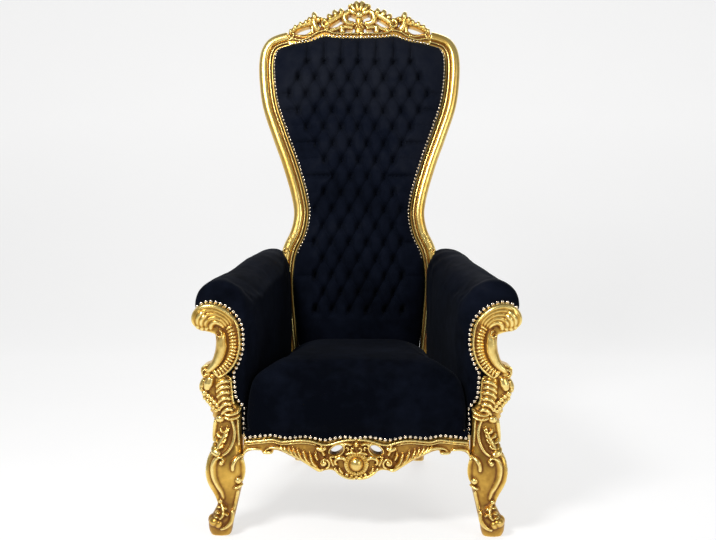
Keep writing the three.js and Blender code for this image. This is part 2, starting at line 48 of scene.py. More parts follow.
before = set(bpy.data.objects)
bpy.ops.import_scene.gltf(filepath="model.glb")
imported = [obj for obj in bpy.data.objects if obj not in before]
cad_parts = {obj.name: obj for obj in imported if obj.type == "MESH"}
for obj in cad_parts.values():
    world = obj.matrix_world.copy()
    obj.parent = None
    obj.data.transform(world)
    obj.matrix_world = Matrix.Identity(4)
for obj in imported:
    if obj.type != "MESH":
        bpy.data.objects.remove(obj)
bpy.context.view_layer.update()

MM = 0.001

# ---- Sizes that the woodwork and the upholstery share ----

FRONT_Y = -403.0  # front face of the front rail
RAIL_BOTTOM = 252.0
RAIL_TOP = 292.0
RAIL_THICK = 42.0
RAIL_END = 332.5  # half length of the front rail
SIDE_RAIL_FRONT, SIDE_RAIL_REAR = np.array([371.0, -331.0]), np.array([254.0, 190.0])
SIDE_LENGTH = float(np.linalg.norm(SIDE_RAIL_REAR - SIDE_RAIL_FRONT))
SIDE_ALONG = (SIDE_RAIL_REAR - SIDE_RAIL_FRONT) / SIDE_LENGTH
POST_DEPTH = 66.0
POST_TOP = 470.0  # where the round post ends and the arm scroll takes over
BACK_FOOT_Y = 202.0
BACK_FOOT_Z = 300.0
BACK_RAIL_Y = BACK_FOOT_Y + 8
BACK_RAIL_HALF = 199.0
REAR_FOOT = (222.0, 366.0)  # middle of a rear leg on the floor
RECLINE = math.radians(8)
PLAIN_GRAIN = 3.0  # cell size of the rails with little carving
STILE_WIDTH = 54.0
STILE_DEPTH = 40.0
OPENING_TOP, OPENING_HALF = 1246.0, 250.0  # the upper corners of the back's opening, up its slope
SCROLL_X, SCROLL_Z = 447.0, 558.0  # the centre of each arm scroll
SCROLL_FACE = FRONT_Y + 4
BOSS_Z = 213.0  # the middle of the boss on the front rail
EYE_X, EYE_Z = 57.5, 253.0  # the middle of each eye pierced through the front rail
NOSE = (445.0, FRONT_Y + 32, 637.0)
NOSE_RADII = (31.0, 38.0, 40.0)
CREST_SINK = 30.0  # how far the crest's carving reaches back
CREST_ROOT_Z = 1356.0  # where the petals of its shell meet
TUFT_ACROSS, TUFT_UP, TUFT_TOP = 62.0, 59.7, 1182.0  # spacing of the buttons, and their top row
BUTTON_ROWS = [7, 8, 9, 8, 7, 6, 5, 4, 5, 6, 5, 6, 5, 6, 5, 6]
SIDE_PLEATS = [0, 0, 1, 1, 0.3, 1, 0.3, 1, 0.2, 0.8, 0.2, 0.7, 0, 0.3, 0, 0]  # how deep they are in each row
PAD_BOTTOM = 14.0
PAD_CROWN = 46.0
SEAT_HALF_FRONT, SEAT_HALF_REAR = 314.0, 219.0
SEAT_BORDER_HALF = 323.0
ARM_REAR_Y = 300.0
GAP = 0.4

# The frame's origin is under the middle of the throne: the back rail shows how far that moves it in Y.
SHIFT_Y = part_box("back_rail")[0].y / MM - BACK_RAIL_Y


# ---- Lines and sections ----


def curve(points, count=48):
    """count points, evenly spaced, along a smooth line through points."""
    knots = np.asarray(points, float)
    padded = np.vstack([2 * knots[0] - knots[1], knots, 2 * knots[-1] - knots[-2]])
    t = np.linspace(0, 1, 17)[:, None]
    spans = []
    for p0, p1, p2, p3 in zip(padded, padded[1:], padded[2:], padded[3:]):
        d0, d1, d2 = (np.linalg.norm(b - a) ** 0.5 for a, b in ((p0, p1), (p1, p2), (p2, p3)))
        m1 = d1 * ((p1 - p0) / d0 - (p2 - p0) / (d0 + d1) + (p2 - p1) / d1)
        m2 = d1 * ((p2 - p1) / d1 - (p3 - p1) / (d1 + d2) + (p3 - p2) / d2)
        ease = 3 * t**2 - 2 * t**3
        spans.append((1 - ease) * p1 + ease * p2 + (t**3 - 2 * t**2 + t) * m1 + (t**3 - t**2) * m2)
    line = np.vstack([spans[0], *(span[1:] for span in spans[1:])])
    reach = np.r_[0, np.cumsum(np.linalg.norm(np.diff(line, axis=0), axis=1))]
    places = np.linspace(0, reach[-1], count)
    return np.stack([np.interp(places, reach, axis) for axis in line.T], 1)


def headings(line):
    """The unit direction of a line at each of its points."""
    along = np.gradient(line, axis=0)
    return along / np.linalg.norm(along, axis=1, keepdims=True)


def spread(values, count):
    """count values, eased between values spread evenly from one end to the other."""
    values = np.atleast_1d(np.asarray(values, float))
    return np.interp(np.linspace(0, 1, count), np.linspace(0, 1, len(values)), values)


def arc(cx, cz, r, start, end, count):
    """count points round a centre, from start to end in degrees."""
    a = np.radians(np.linspace(start, end, count))
    return np.stack([cx + r * np.cos(a), cz + r * np.sin(a)], 1)


def smoothstep(x, low, high):
    """0 below low and 1 above high, eased between them."""
    t = np.clip((np.asarray(x, float) - low) / (high - low), 0, 1)
    return t * t * (3 - 2 * t)


def rotated(direction, angle):
    """A direction in the plane, turned by an angle in radians."""
    c, s = math.cos(angle), math.sin(angle)
    return np.array([direction[0] * c - direction[1] * s, direction[0] * s + direction[1] * c])


# Sections of a strand from one edge to the other: (across, out) as shares of its half width and height.
SIDE = np.linspace(-1, 1, 11)
ROUND = np.stack([SIDE, np.sqrt(np.clip(1 - SIDE**2, 0, 1))], 1)
KEEL = np.stack([SIDE, 1 - np.abs(SIDE) ** 1.5], 1)
SPOON = np.stack([SIDE, 0.45 + 0.55 * np.abs(SIDE) ** 2], 1)
PLATE = np.array([(-1, 0), (-0.96, 0.8), (-0.9, 1), (0.9, 1), (0.96, 0.8), (1, 0)])


# ---- Skins: where relief lies. Each turns (across, up, out of the surface) into points ----


def face_skin(face):
    """The skin of a surface y = face(x, z) that faces the front."""

    def skin(x, z, out):
        return np.stack(np.broadcast_arrays(x, face(x, z) - out, z), -1)

    return skin


def back_skin(x, up, out):
    """The reclined plane of the back."""
    y = BACK_FOOT_Y + up * math.sin(RECLINE) - out * math.cos(RECLINE)
    z = BACK_FOOT_Z + up * math.cos(RECLINE) + out * math.sin(RECLINE)
    return np.stack(np.broadcast_arrays(x, y, z), -1)


# [height, centre x, half width, centre y, half depth] of the front posts
POST_STATIONS = curve(
    [
        (0, 397, 28, -385, 25), (14, 398, 34, -386, 29), (42, 396, 38, -386, 36), (66, 386, 34, -386, 33),
        (95, 377, 31, -376, 30), (120, 377, 37, -376, 36), (150, 381, 48, -380, 45),
        (185, 382, 53, -383, 47), (221, 380, 50, -383, 45), (250, 376, 44, -379, 41),
        (290, 373, 41, -374, 34), (330, 373, 41, -371, 33), (365, 378, 45, -371, 33),
        (400, 399, 46, -371, 33), (430, 407, 44, -371, 33), (475, 403, 38, -371, 33),
    ],
    400,
)
POST_SQUARENESS = 2.78  # the power of the superellipse across a post
POST_TURN = 0.9  # a quarter of a post's girth, as a share of its half width and half depth together
POST_WRAP = 0.87  # how far across a strand is drawn, as a share of how far round the post it lies


def post_station(z):
    """Centre x, half width, centre y and half depth of a post at a height."""
    return [np.interp(z, POST_STATIONS[:, 0], POST_STATIONS[:, k]) for k in (1, 2, 3, 4)]


def post_round(angle, z, out):
    """A point of the right front post at an angle from its front, towards its outer side."""
    cx, hx, cy, hy = post_station(z)
    s, c = np.sin(angle), np.cos(angle)
    power = POST_SQUARENESS
    reach = (np.abs(s / hx) ** power + np.abs(c / hy) ** power) ** (-1 / power)
    nx = np.sign(s) * np.abs(s * reach / hx) ** (power - 1) / hx
    ny = -np.sign(c) * np.abs(c * reach / hy) ** (power - 1) / hy
    size = np.hypot(nx, ny)
    x = cx + reach * s + out * nx / size
    y = cy - reach * c + out * ny / size
    return np.stack(np.broadcast_arrays(x, y, z), -1)


def post_skin(x, z, out):
    """The right front post, unrolled: x runs on round its sides."""
    cx, hx, _, hy = post_station(z)
    return post_round((x - cx) / POST_WRAP * (math.pi / 2) / (POST_TURN * (hx + hy)), z, out)


def scroll_face(x, z):
    """The front of an arm scroll, with its nose."""
    inside = 1 - ((x - NOSE[0]) / NOSE_RADII[0]) ** 2 - ((z - NOSE[2]) / NOSE_RADII[2]) ** 2
    nose = NOSE[1] - NOSE_RADII[1] * np.sqrt(np.clip(inside, 0, 1))
    return np.where(inside > 0, np.minimum(nose, SCROLL_FACE), SCROLL_FACE)


nose_skin = face_skin(scroll_face)
scroll_skin = face_skin(lambda x, z: SCROLL_FACE + 0 * x)
rail_skin = face_skin(lambda x, z: FRONT_Y + 0 * x)


# ---- Carving: closed shells, joined into one piece ----


class Carving:
    """Closed shells in millimetres. They may overlap, as the finished piece is one skin round them all."""

    def __init__(self):
        self.points = []
        self.faces = []
        self.count = 0

    def add(self, points, faces):
        self.points.append(points)
        self.faces += [[i + self.count for i in face] for face in faces]
        self.count += len(points)

    def tube(self, rings):
        """A closed solid through rings of points, an array of (ring, point, xyz)."""
        n, m = rings.shape[:2]
        k = np.arange(n * m).reshape(n, m)
        turned = np.roll(k, -1, axis=1)
        quads = np.stack([k[:-1], turned[:-1], turned[1:], k[1:]], -1).reshape(-1, 4)
        self.add(rings.reshape(-1, 3), [*quads.tolist(), k[0, ::-1].tolist(), k[-1].tolist()])

    def bar(self, skin, points, widths, heights, section=ROUND, sink=6.0, ends=10):
        """Relief along a line of (across, up) points: half widths and heights spread along it, rounded off at
        its ends the more the lower ends is, and sunk into its skin."""
        rough = np.asarray(points, float)
        length = np.linalg.norm(np.diff(rough, axis=0), axis=1).sum()
        count = int(np.clip(length / 3.0, 8, 140))
        at = curve(points, count)
        along = headings(at)
        t = np.linspace(-1, 1, count)
        rounding = np.sqrt(np.clip(1 - np.abs(t) ** ends, 0.02, 1))[:, None]
        width = spread(widths, count)[:, None] * rounding
        height = spread(heights, count)[:, None] * rounding
        side = np.r_[-1, section[:, 0], 1]
        foot = np.full((count, 1), -sink)
        out = np.concatenate([foot, height * section[:, 1], foot], 1)
        across = at[:, :1] + side * width * along[:, 1:]
        up = at[:, 1:] - side * width * along[:, :1]
        self.tube(skin(across, up, out))

    def boss(self, centre, radii, around=24, up=16):
        """An ellipsoid."""
        a = np.linspace(0, 2 * np.pi, around, endpoint=False)
        b = np.linspace(0.02, np.pi - 0.02, up)[:, None]
        unit = np.stack([np.sin(b) * np.cos(a), np.sin(b) * np.sin(a), np.cos(b) + 0 * a], -1)
        self.tube(np.asarray(centre) + unit * np.asarray(radii))

    def beads(self, skin, places, radius, out):
        """Balls with their middles at places, out of a skin."""
        for x, z in places:
            self.boss(skin(np.float64(x), np.float64(z), out), (radius,) * 3, 10, 8)

    def leaf(self, skin, points, width, height, lobes):
        """An acanthus leaf along a line: a hollowed blade, pointed lobes on both sides, and the midrib."""
        blade = np.array([0.4, 0.72, 0.66, 0.2]) * width
        self.bar(skin, points, blade, np.array([0.35, 0.5, 0.55, 0.5]) * height, SPOON)
        at = curve(points, 40)
        along = headings(at)
        length = np.linalg.norm(np.diff(at, axis=0), axis=1).sum()
        lobe_half = 0.46 * length / (lobes + 1)
        lobe_widths = np.array([0.7, 1, 0.8, 0.2]) * lobe_half
        lobe_heights = np.array([0.6, 1, 0.95, 0.45]) * height
        for k in range(lobes):
            t = (k + 0.45) / (lobes + 0.35)
            i = int(t * 39)
            reach = width * (0.72 + 0.5 * math.sin(math.pi * min(1, 0.15 + 0.95 * t)))
            for side in (1, -1):
                turn = math.radians(68 - 40 * t) * side
                elbow = at[i] + rotated(along[i], turn) * reach * 0.55
                tip = elbow + rotated(along[i], turn * 0.45) * reach * 0.6
                self.bar(skin, [at[i], elbow, tip], lobe_widths, lobe_heights, KEEL, ends=14)
        self.bar(skin, points, [2.6, 2.2, 1.4], np.array([1.05, 1.15, 0.8]) * height)

    def volute(self, skin, cx, cz, radius, start, turn, width, height, sink=6.0):
        """A scroll that winds in from radius by turn degrees, with an eye in its middle."""
        t = np.linspace(0, 1, 40)[::4]
        a = np.radians(start + turn * t)
        r = radius * (1 - 0.7 * t)
        line = np.stack([cx + r * np.cos(a), cz + r * np.sin(a)], 1)
        self.bar(skin, line, [width, width * 0.8, width * 0.55], [height * 0.8, height, height], ROUND, sink)
        eye = skin(np.float64(cx), np.float64(cz), height * 0.35)
        self.boss(eye, (radius * 0.3,) * 3, 14, 10)

    def slab(self, loops, skin, low, high):
        """A flat board drawn as an outline and its holes, from low to high out of its skin."""
        flat = np.vstack(loops)
        n = len(flat)
        triangles = tessellate_polygon([[Vector((x, z, 0)) for x, z in loop] for loop in loops])
        faces = [list(t) for t in triangles] + [[i + n for i in reversed(t)] for t in triangles]
        first = 0
        for loop in loops:
            here = first + np.arange(len(loop))
            after = np.roll(here, -1)
            faces += np.stack([here, here + n, after + n, after], 1).tolist()
            first += len(loop)
        self.add(np.vstack([skin(flat[:, 0], flat[:, 1], low), skin(flat[:, 0], flat[:, 1], high)]), faces)

    def mirror(self):
        """Adds the other half of what is there."""
        points = np.vstack(self.points) * (-1, 1, 1)
        self.add(points, [face[::-1] for face in self.faces])

    def piece(self, name):
        """The shells as one named object."""
        mesh = bpy.data.meshes.new(name)
        mesh.from_pydata(in_metres(np.vstack(self.points)).tolist(), [], self.faces)
        return linked(name, mesh)


def in_metres(points):
    """Points of this script, in Blender's units and the frame's place."""
    return (np.asarray(points, float) + (0, SHIFT_Y, 0)) * MM


def in_millimetres(points):
    """The way back from in_metres."""
    return np.asarray(points, float) / MM - (0, SHIFT_Y, 0)


# ---- Meshes and objects ----


def linked(name, data):
    """A new object in the scene."""
    piece = bpy.data.objects.new(name, data)
    bpy.context.scene.collection.objects.link(piece)
    return piece


def baked(piece):
    """Applies a piece's modifiers."""
    graph = bpy.context.evaluated_depsgraph_get()
    made = bpy.data.meshes.new_from_object(piece.evaluated_get(graph))
    piece.modifiers.clear()
    old = piece.data
    piece.data = made
    bpy.data.meshes.remove(old)
    made.name = piece.name
    return piece


def remeshed(piece, voxel):
    """One closed skin round all the shells of a piece."""
    remesh = piece.modifiers.new("Skin", "REMESH")
    remesh.mode = "VOXEL"
    remesh.voxel_size = voxel * MM
    return baked(piece)


def corners(mesh):
    """The place of each vertex, in metres."""
    points = np.empty(len(mesh.vertices) * 3)
    mesh.vertices.foreach_get("co", points)
    return points.reshape(-1, 3)


def set_corners(mesh, points):
    """Moves each vertex to its place in metres."""
    mesh.vertices.foreach_set("co", np.ascontiguousarray(points, np.float32).ravel())
    mesh.update()


def blurred(values, pairs, rounds):
    """values at the vertices, averaged with their neighbours' a number of times."""
    count = len(values)
    ends = np.concatenate([pairs[:, 0], pairs[:, 1]])
    others = np.concatenate([pairs[:, 1], pairs[:, 0]])
    share = np.maximum(np.bincount(ends, minlength=count), 1)
    for _ in range(rounds):
        values = np.stack(
            [np.bincount(ends, weights=values[others, k], minlength=count) / share for k in range(3)], 1
        )
    return values


def edges_of(mesh):
    """The two vertices of each edge."""
    pairs = np.empty(len(mesh.edges) * 2, np.int32)
    mesh.edges.foreach_get("vertices", pairs)
    return pairs.reshape(-1, 2)


def smoothed(piece, rounds):
    """Evens out a skin without shrinking it."""
    pairs = edges_of(piece.data)
    points = corners(piece.data)
    for _ in range(rounds):
        for strength in (0.5, -0.52):
            points = points + strength * (blurred(points, pairs, 1) - points)
    set_corners(piece.data, points)


def directions(mesh):
    """The normal at each vertex."""
    normals = np.empty(len(mesh.vertices) * 3)
    mesh.vertices.foreach_get("normal", normals)
    return normals.reshape(-1, 3)


def note_relief(piece, scales):
    """Stores how far each vertex stands out of (to 1) or lies below (to 0) the smooth form round it, which is
    taken at (rounds of blurring, full height in mm) scales."""
    mesh = piece.data
    points, normals, pairs = corners(mesh), directions(mesh), edges_of(mesh)
    soft, done, level = points, 0, 0.5
    for rounds, full in scales:
        soft = blurred(soft, pairs, rounds - done)
        done = rounds
        lift = ((points - soft) * normals).sum(1) / (full * MM)
        level = level + 0.5 * np.clip(lift, -1, 1) / len(scales)
    relief = mesh.attributes.new("relief", "FLOAT", "POINT")
    relief.data.foreach_set("value", np.clip(level, 0, 1).astype(np.float32))


def shade_smooth(piece):
    """Shades every face of a piece smoothly."""
    piece.data.polygons.foreach_set("use_smooth", np.ones(len(piece.data.polygons), bool))
    return piece


def finished(piece, material, slot, *nodes):
    """Gives a piece its finish, and sets it on the throne in place of its solids."""
    piece.data.materials.clear()
    piece.data.materials.append(material)
    shade_smooth(piece)
    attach(piece, "root")
    if nodes:
        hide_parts(*nodes)


def mirror_copy(piece, name):
    """The same piece on the other side of the throne."""
    mesh = piece.data.copy()
    set_corners(mesh, corners(mesh) * (-1, 1, 1))
    mesh.flip_normals()
    return linked(name, mesh)


def carved(name, carving, voxel, keep=0.5):
    """A carving as one gilded piece, its skin thinned to a share of its triangles where it is plain."""
    piece = remeshed(carving.piece(name), voxel)
    smoothed(piece, 2)
    # The relief also sets the gilding's painted shade in hollows and painted highlight on ridges.
    note_relief(piece, [(4, 1.0), (36, 3.4)])
    fewer = piece.modifiers.new("Fewer", "DECIMATE")
    fewer.ratio = keep
    return baked(piece)


# ---- Materials ----


def ramp(tree, source, stops):
    """A colour ramp over source, with stops of (place, colour or grey)."""
    node = tree.nodes.new("ShaderNodeValToRGB")
    while len(node.color_ramp.elements) < len(stops):
        node.color_ramp.elements.new(0.5)
    for element, (place, colour) in zip(node.color_ramp.elements, stops):
        element.position = place
        element.color = (*colour, 1) if isinstance(colour, tuple) else (colour, colour, colour, 1)
    tree.links.new(source, node.inputs["Fac"])
    return node.outputs["Color"]


def maths(tree, operation, a, b):
    """A sum over two values, each a number or another node's output."""
    node = tree.nodes.new("ShaderNodeMath")
    node.operation = operation
    for socket, source in zip(node.inputs, (a, b)):
        if isinstance(source, (int, float)):
            socket.default_value = source
        else:
            tree.links.new(source, socket)
    return node.outputs["Value"]


def noise_field(tree, place, scale, detail):
    """Noise over a place, at a scale that is a number or another node's output."""
    noise = tree.nodes.new("ShaderNodeTexNoise")
    noise.inputs["Detail"].default_value = detail
    tree.links.new(place, noise.inputs["Vector"])
    if isinstance(scale, (int, float)):
        noise.inputs["Scale"].default_value = scale
    else:
        tree.links.new(scale, noise.inputs["Scale"])
    return noise.outputs["Fac"]


def object_place(tree):
    """Where a point lies on its object, in metres."""
    return tree.nodes.new("ShaderNodeTexCoord").outputs["Object"]


def mask_group(name, defaults):
    """A new group that makes one mask from numbers: its tree, the numbers in it, and the mask's socket."""
    tree = bpy.data.node_groups.new(name, "ShaderNodeTree")
    for label, default in defaults.items():
        socket = tree.interface.new_socket(label, in_out="INPUT", socket_type="NodeSocketFloat")
        socket.default_value = default
    tree.interface.new_socket("Mask", in_out="OUTPUT", socket_type="NodeSocketFloat")
    return tree, tree.nodes.new("NodeGroupInput").outputs, tree.nodes.new("NodeGroupOutput").inputs["Mask"]


def mottle_group():
    """Blotches at two scales, as a mask from 0 to 1 about a half: age on metal and gilding, nap on velvet."""
    tree, given, mask = mask_group("Mottle", {"Size": 20.0, "Fineness": 6.0})
    place = object_place(tree)
    coarse = noise_field(tree, place, given["Size"], 4)
    fine = noise_field(tree, place, maths(tree, "MULTIPLY", given["Size"], given["Fineness"]), 4)
    both = maths(tree, "ADD", maths(tree, "MULTIPLY", coarse, 0.6), maths(tree, "MULTIPLY", fine, 0.4))
    tree.links.new(both, mask)
    return tree


def climb_group():
    """How high a point stands, as a mask from 0 at Low to 1 at High, in metres: painted shade low on the
    gilding, painted light high on the velvet.
    """
    tree, given, mask = mask_group("Climb", {"Low": 0.0, "High": 1.0})
    apart = tree.nodes.new("ShaderNodeSeparateXYZ")
    tree.links.new(object_place(tree), apart.inputs["Vector"])
    span = tree.nodes.new("ShaderNodeMapRange")
    tree.links.new(given["Low"], span.inputs["From Min"])
    tree.links.new(given["High"], span.inputs["From Max"])
    tree.links.new(apart.outputs["Z"], span.inputs["Value"])
    tree.links.new(span.outputs["Result"], mask)
    return tree


def placed(tree, name, make_group, **values):
    """A group set in a material with its own values: its mask."""
    node = tree.nodes.new("ShaderNodeGroup")
    node.node_tree = bpy.data.node_groups.get(name) or make_group()
    for label, value in values.items():
        node.inputs[label].default_value = value
    return node.outputs["Mask"]


def mottle(tree, size, fineness):
    return placed(tree, "Mottle", mottle_group, Size=size, Fineness=fineness)


def climb(tree, low, high):
    return placed(tree, "Climb", climb_group, Low=low, High=high)


def new_material(name):
    """A bare material and its Principled shader, or None for the shader if it is there already."""
    if name in bpy.data.materials:
        return bpy.data.materials[name], None
    material = bpy.data.materials.new(name)
    material.use_nodes = True
    return material, material.node_tree.nodes["Principled BSDF"]


def shader_values(shader, **values):
    """Sets sockets of a shader by name, with _ for each space."""
    for label, value in values.items():
        shader.inputs[label.replace("_", " ")].default_value = value


def bumped(tree, shader, height, distance, strength):
    """Fine relief in the surface, distance metres deep."""
    bump = tree.nodes.new("ShaderNodeBump")
    bump.inputs["Strength"].default_value = strength
    bump.inputs["Distance"].default_value = distance
    tree.links.new(height, bump.inputs["Height"])
    tree.links.new(bump.outputs["Normal"], shader.inputs["Normal"])


def gilding():
    """Burnished gold leaf on carved wood: yellow on ridges, partly burnish and partly painted highlight;
    red-brown in hollows, partly bole and partly painted shade; and painted shade that browns it towards the
    floor.
    """
    material, shader = new_material("gold_leaf")
    if shader is None:
        return material
    tree = material.node_tree
    relief = tree.nodes.new("ShaderNodeAttribute")
    relief.attribute_name = "relief"
    age = maths(tree, "MULTIPLY", maths(tree, "SUBTRACT", mottle(tree, 8.0, 9.0), 0.5), 0.45)
    # Painted shade: the gilding darkens towards the floor, standing in for the shade that falls on the legs.
    painted_low_shade = maths(tree, "MULTIPLY", maths(tree, "SUBTRACT", climb(tree, 0.0, 0.3), 1.0), 0.17)
    place = maths(tree, "ADD", maths(tree, "ADD", relief.outputs["Fac"], age), painted_low_shade)
    colours = bpy.context.scene.throne_finish
    hollow, leaf, bright = (tuple(c) for c in (colours.gold_hollow, colours.gold, colours.gold_ridge))
    brown = tuple(0.55 * a + 0.45 * b for a, b in zip(hollow, leaf))
    # The relief drives colour that is partly real and partly painted light: bole in hollows with painted
    # shade there, and burnish on ridges with painted highlight there.
    colour = ramp(tree, place, [(0.22, hollow), (0.4, brown), (0.54, leaf), (0.72, bright)])
    tree.links.new(colour, shader.inputs["Base Color"])
    tree.links.new(ramp(tree, place, [(0.2, 0.5), (0.45, 0.34), (0.75, 0.26)]), shader.inputs["Roughness"])
    tree.links.new(ramp(tree, place, [(0.15, 0.5), (0.4, 0.9)]), shader.inputs["Metallic"])
    bumped(tree, shader, mottle(tree, 60.0, 7.0), 0.0012, 0.5)
    return material


def velvet():
    """Black velvet: nearly no colour of its own, a cool sheen, mottled nap, and painted light that makes it
    paler up the back.
    """
    material, shader = new_material("black_velvet")
    if shader is None:
        return material
    colours = bpy.context.scene.throne_finish
    tree = material.node_tree
    # Painted light: the velvet turns paler up the back, standing in for the light that falls on its upper
    # part.
    painted_light_up_back = maths(tree, "SUBTRACT", maths(tree, "MULTIPLY", climb(tree, 0.35, 1.6), 0.5), 0.12)
    nap = maths(tree, "ADD", mottle(tree, 6.0, 5.0), painted_light_up_back)
    dark = tuple(colours.velvet)
    light = tuple(2.8 * c for c in dark)
    # The pale stop is the colour of the painted light up the back.
    pale = tuple(0.006 + 3 * c for c in dark)
    tree.links.new(ramp(tree, nap, [(0.35, dark), (0.65, light), (0.95, pale)]), shader.inputs["Base Color"])
    tree.links.new(ramp(tree, nap, [(0.3, 0.9), (0.7, 0.68)]), shader.inputs["Roughness"])
    pile = noise_field(tree, object_place(tree), 900, 2)
    bumped(tree, shader, pile, 0.0004, 0.3)
    shader_values(shader, Sheen_Weight=colours.sheen, Sheen_Roughness=0.45, Specular_IOR_Level=0.02)
    shader.inputs["Sheen Tint"].default_value = (0.72, 0.8, 0.95, 1)
    return material


def brass():
    """Polished upholstery nails with a little tarnish."""
    material, shader = new_material("nail_brass")
    if shader is None:
        return material
    tree = material.node_tree
    bright = tuple(bpy.context.scene.throne_finish.nails)
    dull = tuple(0.62 * c for c in bright)
    age = mottle(tree, 25.0, 8.0)
    tree.links.new(ramp(tree, age, [(0.36, dull), (0.56, bright)]), shader.inputs["Base Color"])
    tree.links.new(ramp(tree, age, [(0.35, 0.34), (0.6, 0.16)]), shader.inputs["Roughness"])
    shader_values(shader, Metallic=1.0)
    return material


# ---- Front posts ----


def about_scroll(turns):
    """(across, up) points at (angle, distance) pairs about the centre of the arm scroll."""
    angles, distances = np.radians([a for a, _ in turns]), np.array([r for _, r in turns])
    return np.stack([SCROLL_X + distances * np.cos(angles), SCROLL_Z + distances * np.sin(angles)], 1)


def post_body(carving):
    """The plain post, drawn in a little under its relief but not where the rail meets it."""
    z = np.linspace(0, POST_TOP, 150)[:, None]
    angle = np.linspace(0, 2 * np.pi, 56, endpoint=False)
    by_rail = smoothstep(-np.sin(angle), 0.2, 0.7) * smoothstep(z, 230, 248) * smoothstep(-z, -312, -296)
    carving.tube(post_round(angle, z, -1.6 * smoothstep(z, 4, 30) * (1 - by_rail)))


def arm_scroll(carving):
    """The C-scroll: a fat roll, a ribbed band and a fillet about one centre, and a heel."""
    middle = about_scroll([(92, 82), (118, 85), (140, 90), (167, 80), (206, 77), (238, 81), (272, 79)])
    carving.bar(scroll_skin, middle, [38, 39, 36, 36, 34, 27, 17], [3], PLATE, POST_DEPTH, ends=40)
    roll = about_scroll(
        [(139, 67), (150, 69), (167, 61), (186, 59.5), (206, 59.5), (228, 64), (248, 71), (264, 77)]
    )
    roll_widths = [11, 14.5, 17.5, 17, 16, 13, 11, 10]
    carving.bar(scroll_skin, roll, roll_widths, [16, 20, 21, 20, 18, 16, 15], ROUND, POST_DEPTH)
    band = about_scroll([(143, 98), (160, 94), (175, 91), (199, 88), (220, 88), (243, 89)])
    carving.bar(scroll_skin, band, [8, 12, 13, 12.5, 12, 8], [7], ROUND, 4, ends=30)
    for degrees in np.arange(146, 245, 5.9):
        across = np.interp(degrees, [148, 175, 243], [97, 92, 90])
        line = about_scroll([(degrees + 2, across - 13), (degrees, across), (degrees + 2, across + 13)])
        carving.bar(scroll_skin, line, [3.4, 4.7, 4.2], [8, 14, 10], ROUND, 4, ends=8)
    edge = about_scroll(
        [(104, 119), (128, 123), (148, 121), (168, 113), (184, 110), (205, 108), (224, 106), (240, 103)]
    )
    edge = np.vstack([edge, [(403, 473), (411, 483), (415, 493)]])
    carving.bar(scroll_skin, edge, [4.2], [10, 11, 12, 12], ROUND, 8, ends=30)
    carving.boss((432, FRONT_Y + 28, 478), (20, 37, 18), 24, 18)
    carving.boss((416, FRONT_Y + 32, 470), (18, 36, 13), 24, 18)
    carving.volute(scroll_skin, 394, 594, 11, 80, 380, 4, 22)
    carving.volute(scroll_skin, 435, 480, 12, 160, -380, 4, 17)


def scroll_nose(carving):
    """The nose of the arm scroll, with ribs that sweep over it and beads under them."""
    carving.boss(NOSE, NOSE_RADII, 32, 24)
    outer = np.array([(350, 618), (360, 642), (380, 661), (408, 673), (440, 672), (464, 652), (468, 628),
                      (456, 612)])
    inner = np.array([(384, 606), (388, 614), (394, 620), (401, 623), (407, 621), (411, 616), (412, 610),
                      (409, 603)])
    for t in (0.1, 0.33, 0.56, 0.78, 0.97):
        line = inner + (outer - inner) * t
        carving.bar(nose_skin, line, [4, 7, 9.5, 10.5, 10.5, 9.5, 7.5], [6, 11, 15, 16, 15, 12, 9], ROUND, 8)
    for x, z in [(455, 616), (443, 611), (430, 611), (418, 614)]:
        carving.boss(nose_skin(np.float64(x), np.float64(z), 0.0), (8, 11, 10))


def neck(carving):
    """Between the scroll and the seat rail: a column of husks, berries, and a leaf towards the seat."""
    carving.bar(post_skin, [(390, 470), (388, 440), (384, 405), (374, 372)], [17, 20, 20, 14], [5, 8, 8, 5])
    for z, x in [(452, 386), (436, 386), (420, 385), (403, 382), (387, 378), (371, 373)]:
        line = [(x - 19, z - 3), (x - 8, z + 4), (x + 8, z - 2), (x + 20, z - 15)]
        carving.bar(post_skin, line, [5, 7.6, 7, 4], [9, 13, 12, 7])
    carving.bar(post_skin, [(420, 470), (426, 450), (434, 428)], [10, 13, 7], [9, 15, 9])
    carving.bar(post_skin, [(442, 462), (450, 444), (452, 420)], [9, 11, 6], [7, 10, 7])
    for x, z, r in [(439, 420, 9), (447, 430, 7), (429, 413, 7), (438, 407, 7.5), (420, 404, 7),
                    (430, 398, 7.5), (412, 395, 7), (422, 388, 7), (404, 386, 7), (414, 379, 7),
                    (398, 375, 7), (406, 370, 6.5)]:
        carving.beads(post_skin, [(x, z)], r, 3)
    carving.bar(post_skin, [(367, 468), (365, 445), (363, 420), (360, 400), (353, 386)], [3.4], [8, 9, 8])
    upper_husk = [(386, 362), (366, 358), (346, 364), (333, 380)]
    lower_husk = [(386, 352), (366, 346), (346, 349), (335, 358)]
    for line in (upper_husk, lower_husk):
        carving.bar(post_skin, line, [6, 9, 8, 4], [11, 14, 12, 7], KEEL)
    carving.boss(post_skin(np.float64(395), np.float64(345), 0.0), (13, 11, 11))


